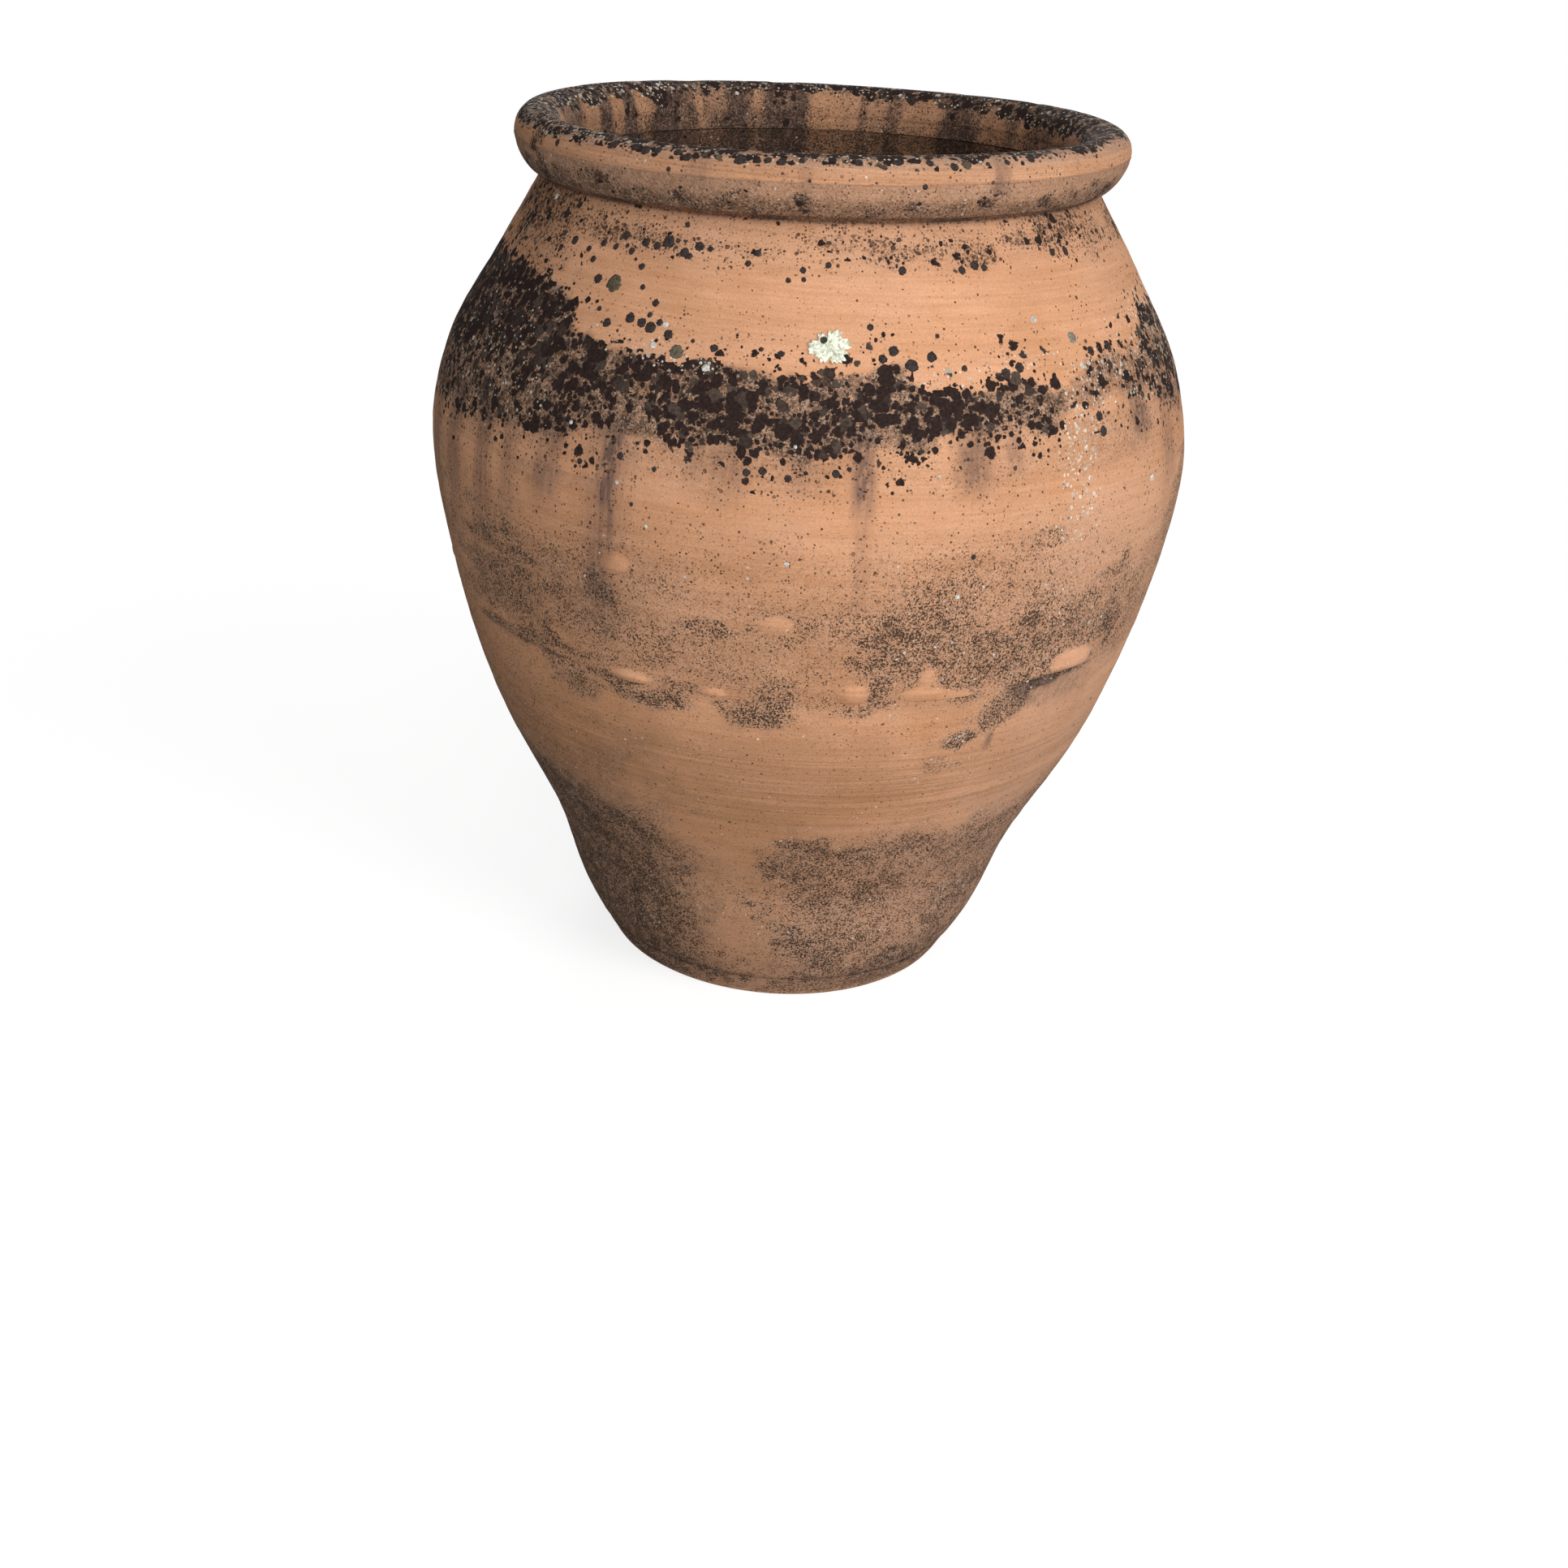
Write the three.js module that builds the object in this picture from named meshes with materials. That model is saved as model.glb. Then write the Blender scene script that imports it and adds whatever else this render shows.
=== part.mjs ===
// A large terracotta storage jar, thrown in sections as such jars are: a floor slab, a foot section,
// two belly sections, a shoulder section and a rolled rim, each luted to the one below with slip.
// Millimetres, +Z up. The origin is the centre of the jar's underside.
import * as THREE from "three";
import { toCreasedNormals } from "three/addons/utils/BufferGeometryUtils.js";

// Overall form: the outer wall at its foot, its belly and its neck, and the rim above the neck.
const jarHeight = 750;
const footRadius = 164;
const footTopRadius = 219;
const bellyRadius = 326;
const bellyHeight = 482;
const neckRadius = 229;
const rimHeight = 45;
const neckHeight = jarHeight - rimHeight;

// Where the potter stopped each section and luted on the next.
const floorThickness = 25;
const footSeamHeight = 135;
const bellySeamHeight = 362;
const shoulderSeamHeight = 522;

// Walls, measured square to the surface. They thin towards the top.
const footWall = 25;
const bellyWall = 20;
const neckWall = 17;

// Joints: each section's edge is bevelled, lower outside than inside, over a film of slip.
const seamBevel = 10;
const rimSeamBevel = 8;
const slipFilm = 0.4;

// The floor: a slab with a rounded edge, a drain hole, and a coil pressed into the corner inside.
const floorEdgeRounding = 9;
const drainHoleRadius = 13;
const drainHoleChamfer = 4;
const cornerCoilSize = 24;
const coilToeClearance = 1;

// The rolled rim: a bevelled underside, an arris round its widest line, and a round crest.
const rimProjection = 24;
const rimArrisHeight = 24;
const rimCrestRounding = 17;
const rimLipRounding = 25;

// The lip that laps over the belly seam, and the marks of the fingers that pressed it down.
const lipProjection = 4.5;
const lipReach = 34;
const lipUnevenness = 0.38;
const dabProjection = 5.5;
const dabHalfWidth = 15;
const dabHalfHeight = 10;
// Each dab as degrees round the jar from the front, and dab heights above the belly seam.
const dabs = [
  [-23, 0.2],
  [-11, 0.4],
  [9, 0.4],
  [20, 0.5],
  [45, 0.8],
  [-2, 6.2],
  [-26, 9.2],
  [-60, 6],
  [98, 0.5],
  [137, 0.4],
  [176, 0.6],
  [-84, 0.4],
  [-128, 0.5],
];

// Steps round the jar, and the longest steps up the walls.
const stepsRound = 72;
const lipStepsRound = 144;
const outsideStep = 32;
const insideStep = 55;
const lipStep = 6;
const dabStep = 20;
const creaseAngle = 40;
const clay = { color: 0xc98a5e, roughness: 0.92, metalness: 0 };

const radians = THREE.MathUtils.degToRad;

// Stations of the outer wall as [height, radius]. Between them the wall is a smooth curve.
const belowBelly = bellyHeight - footSeamHeight;
const aboveBelly = neckHeight - bellyHeight;
const wallStations = [
  [0, footRadius],
  [0.42 * footSeamHeight, footRadius + 0.52 * (footTopRadius - footRadius)],
  [footSeamHeight, footTopRadius],
  [footSeamHeight + 0.33 * belowBelly, footTopRadius + 0.512 * (bellyRadius - footTopRadius)],
  [footSeamHeight + 0.66 * belowBelly, footTopRadius + 0.838 * (bellyRadius - footTopRadius)],
  [bellyHeight, bellyRadius],
  [bellyHeight + 0.38 * aboveBelly, bellyRadius - 0.178 * (bellyRadius - neckRadius)],
  [bellyHeight + 0.7 * aboveBelly, bellyRadius - 0.595 * (bellyRadius - neckRadius)],
  [neckHeight, neckRadius],
];

// The slope of the wall at a station, from the stations beside it.
function stationSlope(i) {
  const [lowZ, lowR] = wallStations[Math.max(i - 1, 0)];
  const [highZ, highR] = wallStations[Math.min(i + 1, wallStations.length - 1)];
  return (highR - lowR) / (highZ - lowZ);
}

// Outer radius of the wall at a height: a Hermite curve through the stations.
function wallRadius(z) {
  let i = 0;
  while (i < wallStations.length - 2 && z > wallStations[i + 1][0]) i += 1;
  const [z0, r0] = wallStations[i];
  const [z1, r1] = wallStations[i + 1];
  const span = z1 - z0;
  const t = (z - z0) / span;
  const t2 = t * t;
  const t3 = t2 * t;
  return (
    r0 * (2 * t3 - 3 * t2 + 1) +
    r1 * (3 * t2 - 2 * t3) +
    span * (stationSlope(i) * (t3 - 2 * t2 + t) + stationSlope(i + 1) * (t3 - t2))
  );
}

function wallSlope(z) {
  const reach = 0.5;
  return (wallRadius(z + reach) - wallRadius(z - reach)) / (2 * reach);
}

// Wall thickness square to the surface, from the foot to the belly to the neck.
function wallThickness(z) {
  if (z < bellyHeight) return THREE.MathUtils.mapLinear(z, 0, bellyHeight, footWall, bellyWall);
  return THREE.MathUtils.mapLinear(z, bellyHeight, neckHeight, bellyWall, neckWall);
}

function innerRadius(z) {
  return wallRadius(z) - wallThickness(z) * Math.hypot(1, wallSlope(z));
}

// Points of a wall face as [radius, height], in even steps between the given heights.
function wallFace(radiusAt, heights, longestStep) {
  const points = [[radiusAt(heights[0]), heights[0]]];
  for (let i = 1; i < heights.length; i += 1) {
    const low = heights[i - 1];
    const rise = heights[i] - low;
    const steps = Math.ceil(rise / longestStep);
    for (let step = 1; step <= steps; step += 1) {
      const z = low + (rise * step) / steps;
      points.push([radiusAt(z), z]);
    }
  }
  return points;
}

// An arc of [radius, height] points, in degrees from outwards, turning towards up.
function arc(centreR, centreZ, radius, from, to, steps) {
  return Array.from({ length: steps + 1 }, (_, i) => {
    const angle = radians(from + ((to - from) * i) / steps);
    return [centreR + radius * Math.cos(angle), centreZ + radius * Math.sin(angle)];
  });
}

// Turns a closed [radius, height] profile round the jar's axis, its outer side running upwards.
// relief(angle, z) moves the first reliefPoints points of the profile outwards.
function turned(profile, steps = stepsRound, reliefPoints = 0, relief = () => 0) {
  const count = profile.length;
  const positions = [];
  for (let i = 0; i < steps; i += 1) {
    const angle = radians((i / steps) * 360);
    profile.forEach(([r, z], j) => {
      const radius = j < reliefPoints ? r + relief(angle, z) : r;
      positions.push(radius * Math.sin(angle), -radius * Math.cos(angle), z);
    });
  }
  const index = [];
  for (let i = 0; i < steps; i += 1) {
    const here = i * count;
    const next = ((i + 1) % steps) * count;
    for (let j = 0; j < count; j += 1) {
      const above = (j + 1) % count;
      index.push(here + j, next + j, next + above);
      index.push(here + j, next + above, here + above);
    }
  }
  const geometry = new THREE.BufferGeometry();
  geometry.setAttribute("position", new THREE.Float32BufferAttribute(positions, 3));
  geometry.setIndex(index);
  return toCreasedNormals(geometry, radians(creaseAngle));
}

// A joint between two sections: its height outside and inside, and the same above the slip.
function seam(height) {
  return { outside: height - seamBevel / 2, inside: height + seamBevel / 2 };
}

function aboveSlip({ outside, inside }) {
  return { outside: outside + slipFilm, inside: inside + slipFilm };
}

const floorTop = { outside: floorThickness, inside: floorThickness };
const footSeam = seam(footSeamHeight);
const bellySeam = seam(bellySeamHeight);
const shoulderSeam = seam(shoulderSeamHeight);
const rimSeam = { outside: neckHeight, inside: neckHeight + rimSeamBevel };
const coilTop = floorThickness + cornerCoilSize;
const coilToeRadius = innerRadius(floorThickness) - slipFilm - cornerCoilSize;

const arrisRadius = neckRadius + rimProjection;
const crestRadius = arrisRadius - rimCrestRounding;
const mouthRadius = crestRadius - rimLipRounding;

// The floor slab carries the foot section on its edge, and its clear floor ends at the coil's toe.
function floorSlab() {
  const rounding = floorEdgeRounding;
  return turned([
    [drainHoleRadius + drainHoleChamfer, 0],
    ...arc(footRadius - rounding, rounding, rounding, -90, -10, 3),
    [wallRadius(floorThickness), floorThickness],
    [coilToeRadius - coilToeClearance, floorThickness],
    [drainHoleRadius + drainHoleChamfer, floorThickness],
    [drainHoleRadius, floorThickness - drainHoleChamfer],
    [drainHoleRadius, drainHoleChamfer],
  ]);
}

// The coil pressed into the corner between floor and wall. A thumb has hollowed its face.
function floorCornerCoil() {
  const wallLow = innerRadius(floorThickness) - slipFilm;
  const wallHigh = innerRadius(coilTop) - slipFilm;
  const face = new THREE.QuadraticBezierCurve(
    new THREE.Vector2(wallHigh, coilTop),
    new THREE.Vector2(wallLow - 0.2 * cornerCoilSize, floorThickness + 0.25 * cornerCoilSize),
    new THREE.Vector2(coilToeRadius, floorThickness),
  );
  return turned([[wallLow, floorThickness], ...face.getPoints(4).map((p) => [p.x, p.y])]);
}

// The foot section stands on the slab, and its inside has the corner coil against it.
function footSection() {
  const outside = wallFace(wallRadius, [floorTop.outside, footSeam.outside], outsideStep);
  const inside = wallFace(innerRadius, [floorTop.inside, coilTop, footSeam.inside], insideStep);
  return turned([...outside, ...inside.reverse()]);
}

function lowerBellySection() {
  const bottom = aboveSlip(footSeam);
  const outside = wallFace(wallRadius, [bottom.outside, bellySeam.outside], outsideStep);
  const inside = wallFace(innerRadius, [bottom.inside, bellySeam.inside], insideStep);
  return turned([...outside, ...inside.reverse()]);
}

// How far the clay stands out near the belly seam: the uneven lapped lip, and the finger dabs.
function seamRelief(angle, z) {
  const fade = Math.max(0, 1 - (z - bellySeam.outside) / lipReach);
  const waves =
    0.5 * Math.sin(3 * angle + 0.6) + 0.3 * Math.sin(7 * angle + 2.1) + 0.2 * Math.sin(13 * angle);
  let relief = lipProjection * (1 - lipUnevenness + lipUnevenness * waves) * fade * fade;
  for (const [degrees, height] of dabs) {
    const turn = angle - radians(degrees);
    const across = (wallRadius(z) * Math.atan2(Math.sin(turn), Math.cos(turn))) / dabHalfWidth;
    const up = (z - bellySeamHeight) / dabHalfHeight - height;
    relief = Math.max(relief, dabProjection * Math.exp(-(across * across + up * up)));
  }
  return relief;
}

// The upper belly section, whose lower edge laps out over the seam.
function upperBellySection() {
  const bottom = aboveSlip(bellySeam);
  const lipTop = bottom.outside + lipReach;
  const lip = wallFace(wallRadius, [bottom.outside, lipTop], lipStep);
  const wall = wallFace(wallRadius, [lipTop, shoulderSeam.outside], dabStep);
  const outside = [...lip, ...wall.slice(1)];
  const inside = wallFace(innerRadius, [bottom.inside, shoulderSeam.inside], insideStep);
  return turned([...outside, ...inside.reverse()], lipStepsRound, outside.length, seamRelief);
}

// The shoulder section closes in to the neck, and ends inside at the mouth.
function shoulderSection() {
  const bottom = aboveSlip(shoulderSeam);
  const outside = wallFace(wallRadius, [bottom.outside, rimSeam.outside], outsideStep);
  const inside = wallFace(innerRadius, [bottom.inside, neckHeight], insideStep);
  return turned([...outside, [mouthRadius, rimSeam.inside], ...inside.reverse()]);
}

// The rolled rim, from the neck groove up over the arris and the round crest to the inside.
function rimRoll() {
  const bottom = aboveSlip(rimSeam);
  const arrisZ = neckHeight + rimArrisHeight;
  const lipZ = jarHeight - rimLipRounding;
  return turned([
    [neckRadius, bottom.outside],
    [neckRadius + 0.62 * rimProjection, neckHeight + 0.36 * rimArrisHeight],
    [arrisRadius - 1, arrisZ - 2],
    [arrisRadius, arrisZ],
    ...arc(crestRadius, jarHeight - rimCrestRounding, rimCrestRounding, 0, 90, 5),
    ...arc(crestRadius, lipZ, rimLipRounding, 90, 170, 4).slice(1),
    [mouthRadius, bottom.inside],
  ]);
}

const pieces = {
  floor_slab: floorSlab(),
  floor_corner_coil: floorCornerCoil(),
  foot_section: footSection(),
  lower_belly_section: lowerBellySection(),
  upper_belly_section: upperBellySection(),
  shoulder_section: shoulderSection(),
  rim_roll: rimRoll(),
};

const jar = new THREE.Group();
for (const [name, geometry] of Object.entries(pieces)) {
  const mesh = new THREE.Mesh(geometry, new THREE.MeshStandardMaterial(clay));
  mesh.name = name;
  jar.add(mesh);
}

export default jar;
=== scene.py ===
# A large, weathered terracotta storage jar, dressed piece by piece on the frame of its solids.
# Metres, +Z up. The front of the photograph looks along +Y, so an azimuth of 0 degrees on the jar
# faces -Y and an azimuth of 90 degrees faces +X.
import math

import bpy
import numpy as np
from mathutils import Matrix, Vector


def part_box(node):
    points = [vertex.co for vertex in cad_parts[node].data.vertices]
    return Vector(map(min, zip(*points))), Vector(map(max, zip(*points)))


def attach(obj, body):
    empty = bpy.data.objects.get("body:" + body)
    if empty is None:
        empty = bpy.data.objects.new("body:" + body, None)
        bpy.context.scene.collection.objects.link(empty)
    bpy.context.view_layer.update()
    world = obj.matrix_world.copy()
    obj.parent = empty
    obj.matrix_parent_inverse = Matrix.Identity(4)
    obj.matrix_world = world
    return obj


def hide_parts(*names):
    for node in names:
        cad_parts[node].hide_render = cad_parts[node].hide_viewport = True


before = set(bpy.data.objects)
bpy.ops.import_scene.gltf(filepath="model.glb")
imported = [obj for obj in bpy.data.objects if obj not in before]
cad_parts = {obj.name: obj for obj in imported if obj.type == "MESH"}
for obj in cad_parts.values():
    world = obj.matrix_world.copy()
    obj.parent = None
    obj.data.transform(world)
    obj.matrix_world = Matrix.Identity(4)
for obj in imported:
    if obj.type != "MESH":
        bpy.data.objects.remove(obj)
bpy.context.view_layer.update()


# Floor slab
# A disc of clay beaten out 25 mm thick, rounded at its edge, with a drain hole cut through it.
# The wall is luted to its upper face with slip, which leaves a fine dark line round the foot.

# Outer wall of the whole jar as (height, radius), which the slab's edge continues.
wall_stations = [
    (0.000, 0.164),
    (0.0567, 0.1926),
    (0.135, 0.219),
    (0.2495, 0.2738),
    (0.364, 0.3087),
    (0.482, 0.326),
    (0.5667, 0.3087),
    (0.6381, 0.2683),
    (0.705, 0.229),
]
belly_height = 0.482
neck_height = 0.705
jar_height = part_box("rim_roll")[1][2]
columns = 640
turn = np.linspace(0, 2 * math.pi, columns, endpoint=False)
azimuth = np.mod(np.degrees(turn) + 180, 360) - 180


def wall_radius(height):
    """Outer radius of the jar's wall at a height: a smooth curve through the stations."""
    z, r = np.array(wall_stations).T
    slope = np.empty_like(r)
    slope[1:-1] = (r[2:] - r[:-2]) / (z[2:] - z[:-2])
    slope[0] = (r[1] - r[0]) / (z[1] - z[0])
    slope[-1] = (r[-1] - r[-2]) / (z[-1] - z[-2])
    i = np.clip(np.searchsorted(z, height) - 1, 0, len(z) - 2)
    span = z[i + 1] - z[i]
    t = (height - z[i]) / span
    lifted = span * (slope[i] * (t**3 - 2 * t**2 + t) + slope[i + 1] * (t**3 - t**2))
    return r[i] * (2 * t**3 - 3 * t**2 + 1) + r[i + 1] * (3 * t**2 - 2 * t**3) + lifted


def inner_radius(height):
    """Inner radius of the wall, whose thickness is measured square to its surface."""
    thickness = np.interp(height, [0, belly_height, neck_height], [0.025, 0.020, 0.017])
    slope = (wall_radius(height + 0.0005) - wall_radius(height - 0.0005)) / 0.001
    return wall_radius(height) - thickness * np.hypot(1, slope)


def smooth_step(low, high, value):
    """0 below low and 1 above high, or the other way round when low is the larger."""
    t = np.clip((value - low) / (high - low), 0, 1)
    return t * t * (3 - 2 * t)


def mottle(around, height, across, up, seed):
    """Smooth random mottling from -1 to 1, about across wide and up tall, seamless round the jar."""
    usual_radius = 0.3
    cells = max(3, round(2 * math.pi * usual_radius / across))
    rows = math.ceil(1.0 / up) + 2
    lumps = np.random.default_rng(seed).uniform(-1, 1, (cells, rows))
    x = np.mod(around / (2 * math.pi), 1) * cells
    y = (height + 0.1) / up
    i = np.floor(x).astype(int)
    j = np.clip(np.floor(y).astype(int), 0, rows - 2)
    fx = smooth_step(0, 1, x - i)
    fy = smooth_step(0, 1, y - j)
    low = lumps[i % cells, j] * (1 - fx) + lumps[(i + 1) % cells, j] * fx
    high = lumps[i % cells, j + 1] * (1 - fx) + lumps[(i + 1) % cells, j + 1] * fx
    return low * (1 - fy) + high * fy


# How far out of true the drying pulled the jar, which shows above lean_start and is full lean_span
# higher. The tilt is a rise for each metre to the right.
lean_start = 0.412
lean_span = 0.3
lean_left = 0.0042
tilt_right = 0.0277
fuller_right = 0.0030
thicker_rim = 0.0062
thickest_azimuth = -112


def settled(x, y, z):
    """The jar dried a little lopsided: above the belly it leans left and its right side is higher and
    fuller, and the rim roll is thickest at the back left."""
    lopsided = np.clip((z - lean_start) / lean_span, 0, 1)
    at = np.arctan2(x, -y)
    crest = np.clip((z - neck_height) / (jar_height - neck_height), 0, 1)
    thicker = thicker_rim * crest * np.clip(np.cos(at - math.radians(thickest_azimuth)), 0, 1) ** 2
    between = smooth_step(0.40, 0.52, z) * smooth_step(0.70, 0.64, z)
    fuller = fuller_right * between * np.clip(np.sin(at), 0, 1) ** 2
    return np.stack([x - lean_left * lopsided + fuller, y, z + tilt_right * x * lopsided + thicker], -1)


def new_piece(name, points, faces):
    """A smooth mesh, put into the scene."""
    mesh = bpy.data.meshes.new(name)
    mesh.from_pydata(points, [], faces)
    mesh.shade_smooth()
    piece = bpy.data.objects.new(name, mesh)
    bpy.context.collection.objects.link(piece)
    return piece


def all_round(profile):
    """A profile's radii and heights as grids, with a column for each step round the jar."""
    return (column[:, None] * np.ones(columns) for column in profile.T)


def ring_of_clay(name, radius, height):
    """A closed ring of clay. radius and height are grids with a row for each point of its profile,
    up the outside and down the inside, and a column for each step round the jar."""
    rows = len(radius)
    points = settled(radius * np.sin(turn), -radius * np.cos(turn), height)
    corner = np.arange(rows * columns).reshape(rows, columns)
    right = np.roll(corner, -1, 1)
    faces = np.stack([corner, right, np.roll(right, -1, 0), np.roll(corner, -1, 0)], -1)
    ring = new_piece(name, points.reshape(-1, 3), faces.reshape(-1, 4))
    ring.data.set_sharp_from_angle(angle=math.radians(48))
    unwrap(ring.data, radius, height)
    return ring


def unwrap(mesh, radius, height):
    """Lays the ring out flat as two half turns, one above the other."""
    margin = 0.008
    outward = np.diff(radius[:, 0], append=radius[0, 0])
    upward = np.diff(height[:, 0], append=height[0, 0])
    steps = np.hypot(outward, upward)
    along = np.concatenate([[0], np.cumsum(steps)]) / steps.sum()
    half = columns // 2
    column = np.arange(columns)
    left = (column % half) / half
    strip = column // half
    u = np.stack([left, left + 1 / half, left + 1 / half, left], -1)[None] * np.ones((len(radius), 1, 1))
    v = np.stack([along[:-1], along[:-1], along[1:], along[1:]], -1)[:, None] * np.ones((1, columns, 1))
    v = (v * (1 - 4 * margin) + 2 * margin + strip[None, :, None]) / 2
    layer = mesh.uv_layers.new(name="OFBake")
    places = np.stack([u * (1 - 2 * margin) + margin, v], -1)
    layer.uv.foreach_set("vector", places.astype(np.float32).ravel())


def paint(piece, **coats):
    """Stores how thickly each growth and stain, and each painted shade and sheen, covers the piece, from 0 to
    1 at each point.
    """
    for name, cover in coats.items():
        layer = piece.data.attributes.new(name, "FLOAT", "POINT")
        cover = np.broadcast_to(np.ravel(np.clip(cover, 0, 1)), len(piece.data.vertices))
        layer.data.foreach_set("value", cover.astype(np.float32))


def from_azimuth(centre):
    """Degrees round the jar from an azimuth, from -180 to 180."""
    return np.mod(azimuth - centre + 180, 360) - 180


def sector(start, full_from, full_to, end):
    """1 from one azimuth to another, with a soft start and a soft end. Degrees, from left to right."""
    return smooth_step(start, full_from, azimuth) * smooth_step(end, full_to, azimuth)


def at_columns(pairs):
    """A value for each column, from pairs of azimuth and value."""
    return np.interp(azimuth, *zip(*pairs))


def patch(height, centre, middle, half_width, half_height):
    """1 in the middle of an oval patch and 0 outside it, with a ragged edge. Degrees and metres."""
    ragged = 0.32 * mottle(turn, height, 0.045, 0.026, 31)
    ragged = ragged + 0.36 * mottle(turn, height, 0.014, 0.008, 32)
    away = np.hypot(from_azimuth(centre) / half_width, (height - middle) / half_height)
    return smooth_step(1.28, 0.48, away + ragged)


def most(height, patches):
    """The strongest of several patches. Each is its azimuth, height, half width, half height, strength."""
    cover = np.zeros_like(height)
    for centre, middle, half_width, half_height, strength in patches:
        cover = np.maximum(cover, strength * patch(height, centre, middle, half_width, half_height))
    return cover


def thrown_surface(height):
    """How far a thrown wall stands out from its true curve: warping, finger ridges and scraping."""
    warp = 0.0010 * mottle(turn, height, 0.42, 0.22, 11) + 0.0004 * mottle(turn, height, 0.11, 0.07, 12)
    spiral = height + 0.006 * turn / (2 * math.pi)
    ridges = 0.00018 * mottle(turn, spiral, 0.55, 0.0085, 13)
    ridges = ridges + 0.00010 * mottle(turn, height, 0.3, 0.0045, 14)
    scraped = smooth_step(0.030, 0.012, abs(height - 0.262))
    return warp + ridges + 0.00045 * scraped * mottle(turn, height, 0.8, 0.0065, 15)


def add(tree, kind, inputs=(), **settings):
    """Adds a node. inputs pairs each socket with a value or with the socket that feeds it."""
    made = tree.nodes.new(kind)
    for name, value in settings.items():
        setattr(made, name, value)
    for name, value in dict(inputs).items():
        if isinstance(value, bpy.types.NodeSocket):
            tree.links.new(value, made.inputs[name])
        else:
            made.inputs[name].default_value = value
    return made


def maths(tree, operation, *values):
    """A Math node on values or sockets."""
    return add(tree, "ShaderNodeMath", enumerate(values), operation=operation).outputs[0]


def ramp(tree, value, low, high, to_low=0.0, to_high=1.0):
    """A smooth change from to_low to to_high as value goes from low to high."""
    sockets = {"Value": value, "From Min": low, "From Max": high, "To Min": to_low, "To Max": to_high}
    return add(tree, "ShaderNodeMapRange", sockets, interpolation_type="SMOOTHSTEP").outputs[0]


def multiplied(tree, *values):
    """The product of two values or sockets."""
    return maths(tree, "MULTIPLY", *values)


def noise(tree, place, scale, detail, roughness=0.5, distortion=0.0):
    """Smooth noise about a middle of 0.5."""
    sockets = {"Vector": place, "Scale": scale, "Detail": detail, "Roughness": roughness}
    return add(tree, "ShaderNodeTexNoise", {**sockets, "Distortion": distortion}).outputs[0]


def on_piece(tree):
    """The place on the piece that is being shaded, in metres."""
    return tree.nodes.new("ShaderNodeTexCoord").outputs["Object"]


def squeezed(tree, place, factors):
    """The place multiplied along each axis, so that a texture there is drawn out or squeezed."""
    return add(tree, "ShaderNodeVectorMath", {0: place, 1: factors}, operation="MULTIPLY").outputs[0]


def scaled(tree, vector, factor):
    """A colour or a vector multiplied by a value."""
    return add(tree, "ShaderNodeVectorMath", {0: vector, "Scale": factor}, operation="SCALE").outputs[0]


def blend(tree, factor, below, above):
    """The colour above laid over the colour below by factor."""
    sockets = {0: factor, 6: below, 7: above}
    return add(tree, "ShaderNodeMix", sockets, data_type="RGBA").outputs[2]


def effect(name, inputs, outputs):
    """A shader node group with named sockets. Returns its tree, its input node and its output node."""
    tree = bpy.data.node_groups.new(name, "ShaderNodeTree")
    for socket, kind, value in inputs:
        tree.interface.new_socket(socket, in_out="INPUT", socket_type=kind).default_value = value
    for socket, kind in outputs:
        tree.interface.new_socket(socket, in_out="OUTPUT", socket_type=kind)
    return tree, tree.nodes.new("NodeGroupInput"), tree.nodes.new("NodeGroupOutput")


clay_light = (0.68, 0.362, 0.210, 1)
clay_deep = (0.53, 0.258, 0.129, 1)


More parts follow.
